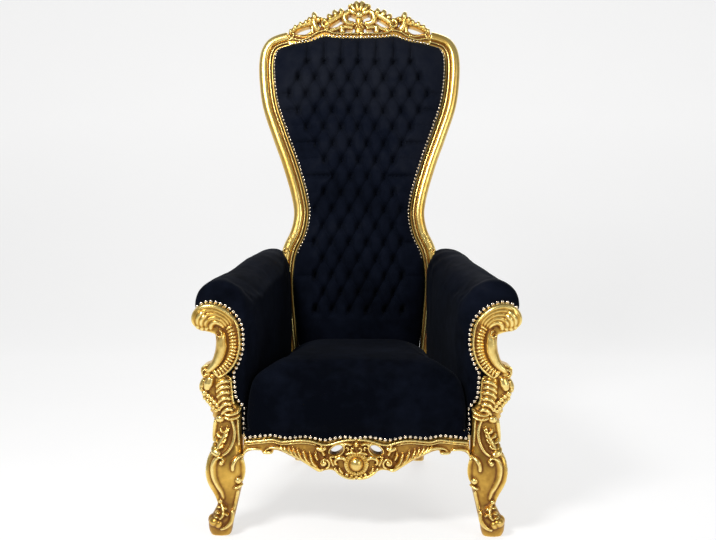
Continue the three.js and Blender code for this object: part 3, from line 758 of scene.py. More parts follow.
def cartouche(carving):
    """The oval beside the end of the seat rail, with a leaf in it and a clasp below."""
    rim = [(386, 357), (373, 355), (361, 343), (354, 322), (353, 300), (358, 276), (370, 255), (388, 241)]
    carving.bar(post_skin, rim, [5], [9, 12, 10])
    midrib = [(401, 256), (392, 278), (382, 300), (374, 324)]
    carving.bar(post_skin, midrib, [7, 9, 8, 3], [10, 13, 11, 6], KEEL)
    for x, z, reach in [(399, 262, 15), (393, 277, 17), (387, 292, 16), (381, 306, 13)]:
        for lean in (-1, 1):
            line = [(x, z), (x + lean * reach * 0.7, z + 5), (x + lean * reach, z + 15)]
            carving.bar(post_skin, line, [5.5, 6.5, 3], [10, 11, 6], KEEL)
    carving.bar(post_skin, [(392, 242), (406, 253), (416, 267)], [9, 12, 8], [10, 14, 9])
    carving.bar(post_skin, [(408, 342), (412, 318), (418, 296), (420, 274)], [5, 6, 6, 4], [8, 9, 8, 6])
    carving.bar(post_skin, [(344, 346), (344, 320), (341, 266)], [3.4], [7])
    carving.leaf(post_skin, [(448, 290), (452, 330), (446, 372)], 17, 9, 4)


def knee(carving):
    """The cabriole knee: two bands that run from a volute down to the ankle, and an ear on the inner side."""
    band = [(384, 218), (382, 230), (391, 238), (404, 232), (412, 214), (412, 184), (402, 156), (391, 132),
            (386, 106)]
    carving.bar(post_skin, band, [5, 6.5, 8.5, 9, 8.5, 7.5, 6, 4.5], [8, 11, 11, 9, 8, 6, 4], KEEL)
    carving.beads(post_skin, [(389, 222)], 7, 4)
    edge = [(414, 248), (426, 234), (431, 204), (429, 174), (415, 140), (405, 110), (400, 88)]
    carving.bar(post_skin, edge, [6, 9, 10, 9, 7.5, 5], [7, 9, 8, 5], KEEL)
    ear = [(356, 196), (356, 216), (349, 232), (338, 239), (326, 237)]
    carving.bar(post_skin, ear, [5, 6, 5], [7, 11, 9])
    carving.bar(post_skin, [(330, 234), (322, 208), (322, 184), (331, 160)], [6, 7.5, 6], [7, 9, 7], KEEL)
    carving.beads(post_skin, [(341, 168)], 10, 0)
    carving.bar(post_skin, [(356, 144), (343, 149), (328, 156)], [4.6], [10])
    carving.bar(post_skin, [(343, 136), (351, 104), (358, 74)], [5, 5, 4], [5, 4, 3])
    carving.leaf(post_skin, [(450, 246), (460, 206), (457, 162), (444, 122)], 17, 7, 5)


def foot(carving):
    """The scrolled toe under its own leaf."""
    carving.beads(post_skin, [(395, 101)], 7, 1)
    carving.bar(post_skin, [(394, 98), (386, 82), (387, 66), (398, 52)], [5, 8, 8, 6], [7, 12, 13, 9], KEEL)
    tips = [(388, 86, -13, -6), (385, 72, -13, -10), (392, 86, 13, 2), (394, 72, 15, 0), (398, 60, 14, 4)]
    for x, z, across, up in tips:
        line = [(x, z), (x + 0.6 * across, z + 0.3 * up), (x + across, z + up)]
        carving.bar(post_skin, line, [5, 6, 3.5], [10, 11, 7], KEEL)
    rim = [(362, 80), (362, 58), (368, 42), (380, 29), (396, 22)]
    carving.bar(post_skin, rim, [4.5, 6, 6.5, 5], [6, 10, 11])
    carving.boss((411, -402, 43), (20, 26, 17))
    carving.boss((400, -413, 38), (14, 15, 14))
    carving.boss((420, -396, 45), (14, 17, 16))


def front_posts():
    """Both front posts: one is carved, and the other is its mirror image."""
    carving = Carving()
    for carve in (post_body, arm_scroll, scroll_nose, neck, cartouche, knee, foot):
        carve(carving)
    right = carved("front_post_gilt_right", carving, bpy.context.scene.throne_work.carving_grain / MM)
    left = mirror_copy(right, "front_post_gilt_left")
    finished(right, gilding(), "gilding", "front_post_right")
    finished(left, gilding(), "gilding", "front_post_left")


# ---- Rails ----

APRON_HALF = [
    (0, 165), (26, 169), (44, 177), (57, 186), (69, 193), (90, 193), (107, 188), (129, 200), (150, 214),
    (177, 229), (204, 242), (228, 251), (241, 252), (243, 243), (250, 240), (266, 241), (273, 243),
    (276, 250), (293, 252), (312, 249), (322, 243), (330, 228), (332.5, 218),
]
NAIL_WAVE = curve([(0, 289.5), (35, 293.5), (65, 289), (91, 284), (118, 289), (148, 294), (178, 292),
                   (204, 290), (226, 294.5), (248, 298), (272, 296), (293, 294), (324, 289)], 100)


def nail_height(x):
    """Height of the waved line of nails over the front rail."""
    return np.interp(np.abs(x), NAIL_WAVE[:, 0], NAIL_WAVE[:, 1])


def front_rail():
    """The front rail: a board pierced by two eyes, the carving on each half, and the boss on its lobe."""
    carving = Carving()
    lower = curve(APRON_HALF, 110)
    x = np.linspace(RAIL_END, -RAIL_END, 110)
    top = np.stack([x, nail_height(x) - 5], 1)
    outline = np.vstack([lower[::-1] * (-1, 1), lower[1:], top[1:-1]])
    eyes = [pierced(side, 20, 12) for side in (-1, 1)]
    carving.slab([outline, *eyes], rail_skin, -RAIL_THICK, -2)
    half = Carving()
    rail_mouldings(half)
    rail_leaves(half)
    rail_frieze(half)
    half.mirror()
    carving.add(np.vstack(half.points), half.faces)
    carving.boss((0, FRONT_Y - 1, BOSS_Z), (21, 20, 21), 36, 24)
    carving.bar(rail_skin, arc(0, BOSS_Z, 24.5, -90, 270, 33), [2], [6], ends=80)
    carving.beads(rail_skin, arc(0, BOSS_Z, 29, 0, 360, 27)[:-1], 3.6, 3)
    carving.bar(rail_skin, arc(0, BOSS_Z, 33.5, -90, 270, 33), [2], [5], ends=80)
    piece = carved("front_rail_gilt", carving, bpy.context.scene.throne_work.carving_grain / MM)
    finished(piece, gilding(), "gilding", "front_rail")


def pierced(side, long, short):
    """The outline of an eye through the front rail, which leans up towards the middle."""
    a = np.linspace(0, 2 * np.pi, 32, endpoint=False)
    lean = math.radians(-31) * side
    x, z = long * np.cos(a), short * np.sin(a)
    across = side * EYE_X + x * math.cos(lean) - z * math.sin(lean)
    return np.stack([across, EYE_Z + x * math.sin(lean) + z * math.cos(lean)], 1)


def rail_mouldings(half):
    """The line under the nails, the rim of the lower edge, and the rims of the eyes and of the lobe."""
    upper = [(0, 285), (25, 284), (53, 278), (72, 272), (91, 270), (110, 274), (130, 280), (157, 283),
             (185, 281), (215, 279), (242, 285), (272, 282), (328, 277)]
    half.bar(rail_skin, upper, [3.6], [8], ends=60)
    second = [(116, 268), (136, 273), (160, 275), (215, 271), (242, 277), (280, 274), (328, 269)]
    half.bar(rail_skin, second, [2.4], [4.5])
    rim = [(94, 198), (106, 195), (122, 205), (146, 220), (172, 237), (198, 251), (230, 261), (252, 260),
           (266, 252)]
    half.bar(rail_skin, rim, [6, 7.5, 6.5, 6, 5.5, 5, 4.4, 3.5], [10, 12, 11, 10, 9, 8])
    half.bar(rail_skin, [(276, 255), (300, 257), (320, 253), (329, 240)], [4], [7])
    half.bar(rail_skin, [(244, 247), (258, 246), (272, 247)], [5], [8])
    eye = pierced(1, 24, 16)
    half.bar(rail_skin, np.vstack([eye, eye[:1]])[::3], [2.8], [7], ends=60)
    half.bar(rail_skin, [(0, 170), (26, 173), (43, 181), (56, 191), (64, 204)], [5, 5, 5, 4], [9, 9, 9, 7])
    half.beads(rail_skin, [(0, 176), (14, 177), (27, 181)], 5.5, 2)
    half.bar(rail_skin, [(36, 184), (46, 193), (50, 205)], [4, 6, 3], [7, 9, 5], KEEL)


def rail_leaves(half):
    """The volute beside the lobe, and the acanthus that sweeps out of it."""
    half.volute(rail_skin, 93, 216, 17, 262, -400, 4.6, 12)
    half.beads(rail_skin, [(93, 216)], 8, 5)
    for x, z, rise, lean in [(110, 203, 44, 30), (123, 210, 44, 38), (136, 217, 42, 42), (149, 224, 38, 42),
                             (162, 231, 34, 42), (176, 239, 27, 40), (190, 247, 20, 36)]:
        tip = (x + lean * 0.85, z + rise)
        line = [(x, z), (x + lean * 0.5, z + rise * 0.28), (x + lean * 0.72, z + rise * 0.62), tip]
        half.bar(rail_skin, line, [5, 7.8, 7.5, 3], [9, 13, 12, 6], KEEL)
    half.bar(rail_skin, [(110, 222), (117, 236), (117, 252)], [5, 6.5, 3], [8, 11, 6], KEEL)
    half.bar(rail_skin, [(85, 262), (101, 256), (118, 262)], [5, 8.5, 5], [9, 13, 8])
    half.bar(rail_skin, [(101, 258), (96, 246), (92, 236)], [7, 7, 6], [10, 11, 9], KEEL)
    half.bar(rail_skin, [(100, 260), (101, 268), (104, 276)], [6, 6, 4], [9, 10, 7], KEEL)


def rail_frieze(half):
    """Small scrolls over the boss, and the ears beside it."""
    ear = [(28, 223), (40, 232), (53, 231), (61, 224), (59, 214), (52, 212)]
    half.bar(rail_skin, ear, [6.5, 7, 6.5, 5, 4], [9, 14, 14, 11])
    half.bar(rail_skin, [(64, 206), (71, 220), (77, 238)], [6, 7, 5.5], [8, 11, 9], KEEL)
    half.bar(rail_skin, [(0, 246), (18, 246), (34, 241)], [4], [9])
    half.volute(rail_skin, 10, 257, 7, 250, 360, 3.2, 9)
    half.volute(rail_skin, 27, 259, 6, 290, -360, 3, 8)
    half.bar(rail_skin, [(12, 268), (26, 273), (40, 272), (50, 276)], [4.6, 6, 6, 4], [8, 11, 10, 7], KEEL)
    half.beads(rail_skin, [(37, 270)], 6.5, 4)
    half.bar(rail_skin, [(0, 262), (0, 272), (0, 281)], [7, 9, 5], [9, 12, 7], KEEL)


def side_skin(side):
    """The skin of a side rail: x runs back along it from its front end."""
    outwards = np.array([SIDE_ALONG[1], -SIDE_ALONG[0]])

    def skin(x, z, out):
        x, z, out = np.broadcast_arrays(x, z, out)
        flat = SIDE_RAIL_FRONT + x[..., None] * SIDE_ALONG + (out[..., None] + 20) * outwards
        return np.stack([side * flat[..., 0], flat[..., 1], z], -1)

    return skin


def side_rails():
    """The side rails with their mouldings and middle leaf."""
    long, middle = SIDE_LENGTH, SIDE_LENGTH / 2
    x = np.linspace(0, long, 60)
    low = RAIL_BOTTOM - 21 * np.exp(-(((x - middle) / 60) ** 2))
    outline = np.vstack([np.stack([x, low], 1), [(long, RAIL_TOP), (0, RAIL_TOP)]])
    rim = [(4, 258), (long * 0.3, 257), (long * 0.42, 248), (middle, 240), (long * 0.58, 248),
           (long * 0.7, 257), (long - 4, 258)]
    for side, name in ((1, "right"), (-1, "left")):
        skin = side_skin(side)
        carving = Carving()
        carving.slab([outline], skin, -40, 0)
        carving.bar(skin, [(2, 284), (middle, 284), (long - 2, 284)], [4.2], [5.5], ends=60)
        carving.bar(skin, rim, [3.4], [4.5], ends=60)
        for lean in (-1, 1):
            carving.leaf(skin, [(middle + k * lean, z) for k, z in ((6, 258), (34, 266), (66, 268))], 9, 6, 4)
        carving.boss(skin(middle, 260.0, 0.0), (10, 10, 10))
        piece = carved("side_rail_gilt_" + name, carving, PLAIN_GRAIN)
        finished(piece, gilding(), "gilding", "side_rail_" + name)


def back_rail():
    """The plain back rail, with one bead along its hidden side."""
    half, low, high = BACK_RAIL_HALF, RAIL_BOTTOM, RAIL_TOP - GAP
    rear_y = BACK_RAIL_Y + 36

    def rear_skin(x, z, out):
        return np.stack(np.broadcast_arrays(x, rear_y + out, z), -1)

    carving = Carving()
    outline = np.array([(-half, low), (half, low), (half, high), (-half, high)])
    carving.slab([outline], face_skin(lambda x, z: BACK_RAIL_Y + 0 * x), BACK_RAIL_Y - rear_y, 0)
    carving.bar(rear_skin, [(2 - half, 284), (0, 284), (half - 2, 284)], [4.2], [3.5], ends=60)
    piece = carved("back_rail_gilt", carving, PLAIN_GRAIN)
    finished(piece, gilding(), "gilding", "back_rail")


# ---- The back frame ----

STILE_LINE = curve(
    [
        (226, -10), (236, 90), (252, 250), (262, 400), (249, 500), (220, 566), (208, 628), (215, 690),
        (249, 811), (288, 920), (324, 1030), (337, 1125), (338, 1190), (331, 1228), (314, 1254),
        (288, 1267), (257, 1275),
    ],
    241,
)
LEG_PROFILE = curve([(20, 38), (24, 12), (17, 2), (5, 0), (-5, 0), (-17, 2), (-24, 12), (-24, 26),
                     (-20, 38)], 61)
STILE_PROFILE = curve(
    [(27, STILE_DEPTH), (27, 20), (26.4, 7), (22.5, -1.5), (15, -6.5), (6, -8), (-1, -6), (-5, -1.5),
     (-6.5, 3), (-8.5, 4.5), (-10.5, 0.5), (-13, -2), (-15.5, 0), (-17.5, 4), (-20, 5), (-25, 5), (-27, 10),
     (-27, STILE_DEPTH)],
    61,
)


def up_slope(tilt):
    """The direction up a plane that leans back by tilt."""
    return np.array([0, math.sin(tilt), math.cos(tilt)])


def behind(tilt):
    """The direction out of the rear of a plane that leans back by tilt."""
    return np.array([0, math.cos(tilt), -math.sin(tilt)])


def leg_rings():
    """Sections of the right rear leg, from the floor up to where the stile begins."""
    start = back_skin(STILE_LINE[0, 0], STILE_LINE[0, 1], 0.0)
    steps = 44
    rings = []
    for t in np.arange(steps) / steps:
        x = REAR_FOOT[0] + (start[0] - REAR_FOOT[0]) * t
        y = start[1] + (REAR_FOOT[1] - start[1]) * (1 - t) ** 1.5
        deep = 1 + (0.35 + 0.15 * math.sin(math.pi * t)) * (1 - t**4)
        wide = 0.86 + 0.14 * t
        back = behind(RECLINE * t) * deep
        rings.append([np.array([x + a * wide, y, start[2] * t]) + back * d for a, d in LEG_PROFILE])
    return rings


def stile_rings():
    """Sections of the right stile, whose plain foot turns into its moulding."""
    blend = smoothstep(np.linspace(0, 1, len(STILE_LINE)), 0.05, 0.2)
    rings = []
    for (x, up), (ax, az), t in zip(STILE_LINE, headings(STILE_LINE), blend):
        profile = LEG_PROFILE + (STILE_PROFILE - LEG_PROFILE) * t
        across = np.array([az, 0, 0]) - up_slope(RECLINE) * ax
        rings.append([back_skin(x, up, 0.0) + across * a + behind(RECLINE) * d for a, d in profile])
    return rings


def back_posts():
    """Each rear leg and the moulded stile above it, in one sweep, with a curl where the arm meets it."""
    post = Carving()
    post.tube(np.array(leg_rings() + stile_rings())[:, ::-1])
    curl = Carving()
    curl.volute(back_skin, 262, 498, 13, 200, -380, 4.6, 14)
    curl.leaf(back_skin, [(250, 520), (240, 548), (224, 572)], 12, 9, 3)
    right = joined([post.piece("back_post_gilt_right"), remeshed(curl.piece("stile_curl"), 1.6)])
    # The relief also sets the gilding's painted shade in hollows and painted highlight on ridges.
    note_relief(right, [(3, 1.0), (10, 3.0)])
    left = mirror_copy(right, "back_post_gilt_left")
    finished(right, gilding(), "gilding", "back_post_right")
    finished(left, gilding(), "gilding", "back_post_left")


def joined(pieces):
    """The first piece with the others' meshes added to it."""
    first = pieces[0]
    points = []
    faces = []
    for piece in pieces:
        faces += [[i + len(points) for i in polygon.vertices] for polygon in piece.data.polygons]
        points += corners(piece.data).tolist()
    mesh = bpy.data.meshes.new(first.name)
    mesh.from_pydata(points, [], faces)
    for piece in pieces[1:]:
        bpy.data.objects.remove(piece)
    old = first.data
    first.data = mesh
    bpy.data.meshes.remove(old)
    return first


def crest_rail():
    """The pierced crest: C-scrolls and leaves under a shell."""
    half = Carving()
    for carve in (crest_base, crest_scrolls, crest_leaves):
        carve(half)
    half.mirror()
    carving = Carving()
    carving.add(np.vstack(half.points), half.faces)
    crest_shell(carving)
    piece = carved("crest_gilt", carving, bpy.context.scene.throne_work.crest_grain / MM)
    finished(piece, gilding(), "gilding", "crest_rail")


def crest_front(x, up, out):
    """The front of the crest, just in front of the back's own plane."""
    return back_skin(x, up, out - 2)


def crest_roll(half, points, widths, heights, section=ROUND, ends=12):
    """A strand of the crest, as deep as the crest is."""
    half.bar(crest_front, points, widths, heights, section, CREST_SINK, ends=ends)


def crest_shell(carving):
    """The shell at the top with its root, the stem below, and the palmette that hangs from it."""
    for lean, long in ((-58, 50), (-36, 63), (-12, 65), (12, 65), (36, 63), (58, 50)):
        a = math.radians(90 - lean)
        line = [(r * math.cos(a), CREST_ROOT_Z + r * math.sin(a)) for r in (4, long * 0.5, long - 5)]
        crest_roll(carving, line, [7, 11, 12], [12, 18, 15], ends=5)
    carving.boss(crest_front(0.0, CREST_ROOT_Z + 4, 10.0), (15, 13, 14))
    for side in (-1, 1):
        carving.volute(crest_front, side * 34, 1384, 13, 90 - side * 40, side * 380, 6, 16, CREST_SINK)
    crest_roll(carving, [(0, 1292), (0, 1318), (0, 1350)], [19, 12, 16], [9, 12, 13], ends=40)
    for lean in (-64, -32, 0, 32, 64):
        a = math.radians(270 + lean)
        line = [(r * math.cos(a), 1334 + r * math.sin(a)) for r in (3, 16, 31)]
        carving.bar(crest_front, line, [4, 7, 6], [11, 16, 11], KEEL, 10)


def crest_base(half):
    """The foot of the crest: a nailed strip under a bead, and the ends that meet the stiles."""
    foot = [(0, 1285), (60, 1286), (91, 1287), (125, 1296), (150, 1294), (185, 1277), (212, 1273),
            (238, 1273), (262, 1268)]
    crest_roll(half, foot, [11.5, 11.5, 11, 11, 18, 20, 16, 18, 22], [4], PLATE, 60)
    bead = [(0, 1292), (60, 1292), (91, 1293), (118, 1303), (146, 1299), (170, 1285), (189, 1274),
            (212, 1268), (238, 1272), (260, 1270)]
    half.bar(crest_front, bead, [4.2], [11, 12, 11], ROUND, 8, ends=60)
    half.bar(crest_front, [(176, 1288), (200, 1281), (226, 1284), (250, 1290)], [3.4], [8, 9, 8], ROUND, 8)
    half.volute(crest_front, 249, 1285, 12, 80, 380, 5, 13, CREST_SINK)


def crest_scrolls(half):
    """The C about the inner eye, the S over the slanting eye, and the straps between the small ones."""
    crest_roll(half, arc(32, 1352, 22, -132, 118, 15), [9, 11.5, 12.5, 12, 10], [11, 16, 16, 12])
    crest_roll(half, [(22, 1314), (42, 1317), (60, 1318)], [9], [11])
    crest_roll(half, [(61, 1322), (63, 1306), (61, 1294)], [11], [12])
    crest_roll(half, [(58, 1326), (78, 1312), (98, 1306), (112, 1298)], [8, 7, 8, 10], [11])
    over = [(46, 1372), (70, 1361), (91, 1349), (109, 1336), (121, 1320), (114, 1302)]
    crest_roll(half, over, [11, 13, 14, 14, 14, 12], [12, 16, 17, 15])
    half.volute(crest_front, 121, 1326, 17, 100, -420, 7.5, 19, CREST_SINK)
    crest_roll(half, [(130, 1342), (144, 1349), (160, 1343)], [8, 7, 8], [11])
    crest_roll(half, [(146, 1302), (160, 1320), (165, 1342), (164, 1364)], [15, 12, 12, 8], [11, 14, 14, 9])
    outer = [(162, 1334), (186, 1329), (207, 1323), (227, 1314), (243, 1302), (254, 1287)]
    crest_roll(half, outer, [12, 10.5, 10, 10, 10, 11], [12, 13, 12])
    crest_roll(half, [(170, 1326), (171, 1308), (170, 1292)], [7], [10])


def crest_leaves(half):
    """The leaf tips that stand along the top of the scrolls."""
    tips = [
        (66, 1362, 24, 88, 10), (84, 1354, 28, 74, 11), (102, 1345, 24, 58, 10), (118, 1336, 18, 40, 9),
        (152, 1340, 17, 112, 8), (165, 1346, 27, 92, 10), (177, 1338, 18, 60, 9), (194, 1329, 15, 80, 9),
        (212, 1322, 15, 68, 9), (230, 1312, 14, 54, 9), (246, 1299, 12, 40, 8),
    ]
    for x, up, long, heading, wide in tips:
        a, b = math.radians(heading), math.radians(heading - 40)
        elbow = (x + 0.6 * long * math.cos(a), up + 0.6 * long * math.sin(a))
        tip = (elbow[0] + 0.45 * long * math.cos(b), elbow[1] + 0.45 * long * math.sin(b))
        crest_roll(half, [(x, up - 8), elbow, tip], [wide, wide * 1.15, wide * 0.8], [14, 18, 12], ROUND, 6)


# ---- Upholstery ----


def pad_edge(inset):
    """The line inset from the middle of the stile, as (half width, up)."""
    along = headings(STILE_LINE)
    return np.stack([STILE_LINE[:, 0] - along[:, 1] * inset, STILE_LINE[:, 1] + along[:, 0] * inset], 1)


def top_edge(x):
    """Underside of the crest over the back pad."""
    return np.interp(np.abs(x), [0, 60, 125, 185, OPENING_HALF], [1273, 1275, 1279, 1261, OPENING_TOP])


def half_width(up, inset=STILE_WIDTH / 2):
    """Half the width of the back's opening at a height."""
    edge = pad_edge(inset)
    return np.interp(up, edge[:, 1], edge[:, 0])


def back_field(rows, columns, inset):
    """Places all over the opening of the back: across, up, and the half width at each."""
    t = np.linspace(0, 1, rows)[:, None]
    level = PAD_BOTTOM + t * (OPENING_TOP - PAD_BOTTOM)
    width = half_width(level, STILE_WIDTH / 2 + inset)
    width = np.where(level > OPENING_TOP - 2, np.minimum(width, OPENING_HALF + 1), width)
    u = np.linspace(-1, 1, columns)
    up = PAD_BOTTOM + t * (top_edge(u * OPENING_HALF) - inset - PAD_BOTTOM)
    return u * width, up, width


def settle(x, up):
    """The lattice of the buttons, a little pulled about by hand: true places to even ones."""
    return x + 1.8 * np.sin(up / 83 + 1.3) + 1.4 * np.sin(x / 57 + up / 140), up + 1.6 * np.sin(x / 66 + 0.7)


def tufted(x, up, width):
    """How far the back pad stands out of its frame."""
    even_x, even_up = settle(x, up)
    row = (TUFT_TOP - even_up) / TUFT_UP
    rows = np.arange(len(BUTTON_ROWS))
    reach = (np.interp(row, rows, BUTTON_ROWS) - 1) / 2 * TUFT_ACROSS
    inside = smoothstep(-np.abs(even_x), -reach - 26, -reach - 4) * smoothstep(row, -0.3, 0.0)
    inside *= smoothstep(-row, -len(BUTTON_ROWS) + 0.4, -len(BUTTON_ROWS) + 1)
    sunk = inside * diamonds(even_x / TUFT_ACROSS, row)
    sunk = np.maximum(sunk, side_pleats(even_x, row, rows))
    sunk = np.maximum(sunk, top_pleats(even_x, TUFT_TOP - even_up))
    from_side = np.clip((width - np.abs(x)) / 85, 0, 1)
    from_top = np.clip((top_edge(x) - up) / 80, 0, 1)
    crown = np.sqrt(1 - (1 - from_side) ** 2) * np.sqrt(1 - (1 - from_top) ** 2)
    return 4 + PAD_CROWN * crown * (1 - sunk)


def diamonds(across, row):
    """How deep the pleats between the buttons are, and the pits at the buttons, as a share of the pad."""
    a, b = across + row / 2, across - row / 2
    pleat = np.minimum(np.abs(np.sin(np.pi * a)), np.abs(np.sin(np.pi * b))) * TUFT_ACROSS / math.pi
    fold = 0.13 * np.exp(-pleat / 2.6) + 0.15 * np.exp(-((pleat / 12) ** 2))
    past_a, past_b = a - np.round(a), b - np.round(b)
    dx = (past_a + past_b) / 2 * TUFT_ACROSS
    dz = (past_a - past_b) * TUFT_UP
    pit = np.exp(-((dx / 9.5) ** 2) - (dz / 17) ** 2)
    return np.minimum(fold * (1 - pit) + 0.74 * pit, 0.8)


def side_pleats(even_x, row, rows):
    """The pleats that run on from the outer buttons of some rows to the frame."""
    nearest = np.clip(np.round(row), 0, rows[-1]).astype(int)
    end = (np.take(BUTTON_ROWS, nearest) - 1) / 2 * TUFT_ACROSS
    level = np.abs(row - nearest) * TUFT_UP
    past = np.abs(even_x) - end
    depth = np.take(SIDE_PLEATS, nearest) * smoothstep(past, -3, 12)
    return depth * (0.30 * np.exp(-level / 3) + 0.22 * np.exp(-((level / 11) ** 2)))


def top_pleats(even_x, over):
    """The pleats that run straight up from the top row of buttons to the crest."""
    column = np.abs(even_x / TUFT_ACROSS - np.round(even_x / TUFT_ACROSS)) * TUFT_ACROSS
    reach = smoothstep(-over, -3, 12) * (np.abs(even_x) < 3.5 * TUFT_ACROSS)
    return reach * (0.30 * np.exp(-column / 3) + 0.2 * np.exp(-((column / 11) ** 2)))


def button_places():
    """Where each button is, across and up: the place that the lattice of the buttons settles into."""
    for row, count in enumerate(BUTTON_ROWS):
        for k in range(count):
            wanted = np.array([(k - (count - 1) / 2) * TUFT_ACROSS, TUFT_TOP - row * TUFT_UP])
            place = wanted
            for _ in range(4):
                place = place + wanted - settle(*place)
            yield place


def back_pad():
    """The deep-buttoned back."""
    x, up, width = back_field(360, 200, 1.0)
    surface = back_skin(x, up, tufted(x, up, width))
    rear = back_skin(x[:, [0, -1]], up[:, [0, -1]], -30.0)
    carving = Carving()
    carving.tube(np.concatenate([surface, rear[:, ::-1]], 1))
    piece = carving.piece("back_pad_velvet")
    finished(piece, velvet(), "velvet", "back_pad")


def dome(radius, height, around, rings):
    """A domed head, with a blunt point behind it: its points in metres, and its faces."""
    a = np.linspace(0, 2 * np.pi, around, endpoint=False)
    rise = np.linspace(0, np.pi / 2, rings + 1)[:-1, None]
    ring = np.stack(np.broadcast_arrays(radius * np.cos(rise) * np.cos(a), radius * np.cos(rise) * np.sin(a),
                                        height * np.sin(rise)), -1)
    points = np.vstack([ring.reshape(-1, 3), (0, 0, height), (0, 0, -0.4 * radius)])
    k = np.arange(rings * around).reshape(rings, around)
    turned = np.roll(k, -1, axis=1)
    faces = np.stack([k[:-1], turned[:-1], turned[1:], k[1:]], -1).reshape(-1, 4).tolist()
    top, point = len(points) - 2, len(points) - 1
    faces += [[int(i), int(j), top] for i, j in zip(k[-1], turned[-1])]
    faces += [[int(j), int(i), point] for i, j in zip(k[0], turned[0])]
    return points * MM, faces


def domes(name, places, radius, height, around=10, rings=4):
    """Domed heads, each at a (point, normal) in metres, as one mesh object."""
    local, local_faces = dome(radius, height, around, rings)
    points, faces = [], []
    for place, normal in places:
        turn = Vector(normal).to_track_quat("Z", "Y").to_matrix()
        faces += [[i + len(points) for i in face] for face in local_faces]
        points += [turn @ Vector(p) + Vector(place) for p in local]
    mesh = bpy.data.meshes.new(name)
    mesh.from_pydata([tuple(p) for p in points], [], faces)
    return linked(name, mesh)


def buttons():
    """Covered buttons at the bottom of the tufts."""
    places = []
    normal = Vector((0, -math.cos(RECLINE), math.sin(RECLINE)))
    for x, up in button_places():
        out = float(tufted(x, up, half_width(up)))
        places.append((in_metres(back_skin(x, up, out - 0.5)), normal))
    piece = domes("back_buttons", places, 6.5, 3.6, 14, 4)
    finished(piece, velvet(), "velvet")


def outside_back():
    """The velvet panel behind the back, a little padded."""
    x, up, width = back_field(120, 60, 1.5)
    from_edge = np.minimum(width - np.abs(x), np.minimum(up - PAD_BOTTOM, top_edge(x) - up))
    from_edge = np.clip(from_edge / 60, 0, 1)
    surface = back_skin(x, up, -41 - 11 * np.sqrt(1 - (1 - from_edge) ** 2))[:, ::-1]
    front = back_skin(x[:, [-1, 0]], up[:, [-1, 0]], -34.0)
    carving = Carving()
    carving.tube(np.concatenate([surface, front[:, ::-1]], 1))
    piece = carving.piece("outside_back_velvet")
    finished(piece, velvet(), "velvet", "outside_back")


def swollen(piece, pressure, cap, held):
    """Blows a pad up as cloth, by cap mm at the most. held(points) is how firmly each place is tacked."""
    start = corners(piece.data)
    weights = np.clip(held(in_millimetres(start)), 0, 1)
    tacks = piece.vertex_groups.new(name="tacks")
    for level in range(1, 5):
        chosen = np.flatnonzero(np.round(weights * 4) == level)
        tacks.add(chosen.tolist(), level / 4, "REPLACE")
    settings = piece.modifiers.new("Swell", "CLOTH").settings
    settings.quality = 5
    settings.mass = 0.4
    settings.tension_stiffness = 12
    settings.compression_stiffness = 12
    settings.shear_stiffness = 6
    settings.bending_stiffness = 1.5
    settings.use_pressure = True
    settings.uniform_pressure_force = pressure
    settings.vertex_group_mass = "tacks"
    settings.effector_weights.gravity = 0
    scene = bpy.context.scene
    for step in range(1, 21):
        scene.frame_set(step)
    graph = bpy.context.evaluated_depsgraph_get()
    moved = corners(piece.evaluated_get(graph).data) - start
    piece.modifiers.clear()
    piece.vertex_groups.clear()
    far = np.linalg.norm(moved, axis=1, keepdims=True)
    set_corners(piece.data, start + moved * np.minimum(1, cap * MM / np.maximum(far, 1e-9)))
    scene.frame_set(1)


def stuffed(piece, voxel, pressure, cap, held):
    """Makes a pad one skin and fills it out over its stuffing."""
    remeshed(piece, voxel)
    swollen(piece, pressure, cap, held)
    smoothed(piece, 3)
    subdivision = piece.modifiers.new("Finer", "SUBSURF")
    subdivision.levels = 1
    subdivision.render_levels = 1
    baked(piece)


def seat_half(y, inset):
    """Half width of the seat at a depth."""
    back = (y - FRONT_Y) / (BACK_FOOT_Y - FRONT_Y)
    return SEAT_HALF_FRONT + (SEAT_HALF_REAR - SEAT_HALF_FRONT) * back - inset


def seat_ring(inset, z, bulge):
    """One level of the seat, a trapezium whose corners are tight at the foot and rounder above."""
    corner = 12.0 + 28.0 * smoothstep(z, 300, 430)
    front = FRONT_Y + 2 - bulge + inset
    rear = BACK_FOOT_Y - 62 - inset
    a = np.radians(np.linspace(0, 90, 9))
    small, large = corner * (1 - np.cos(a)), corner * (1 - np.sin(a))
    y = np.linspace(front + corner, rear - corner, 22)[1:-1]
    side = np.concatenate([np.stack([seat_half(front, inset) - large, front + small], 1),
                           np.stack([seat_half(y, inset), y], 1),
                           np.stack([seat_half(rear, inset) - small, rear - large], 1)])
    ring = np.vstack([side, side[::-1] * (-1, 1)])
    return np.column_stack([ring, np.full(len(ring), z)])


def seat_held(points):
    """The seat is tacked along its foot, and held a little where it meets the back."""
    return np.maximum(smoothstep(-points[:, 2], -318, -300), 0.25 * smoothstep(points[:, 1], 60, 130))


def seat_border():
    """The velvet's lower edge, turned down over the waved top of the front rail."""
    rings = []
    for x in np.linspace(-SEAT_BORDER_HALF, SEAT_BORDER_HALF, 160):
        low = nail_height(x)
        section = [(6, low - 2), (1, low - 4.5), (-2, low - 3.5), (-3.5, low + 1), (-3.5, low + 7), (-2, 304),
                   (0, 309), (6, 311)]
        rings.append([(x, FRONT_Y + y, z) for y, z in section])
    border = Carving()
    border.tube(np.array(rings)[:, ::-1])
    return border.piece("seat_border")


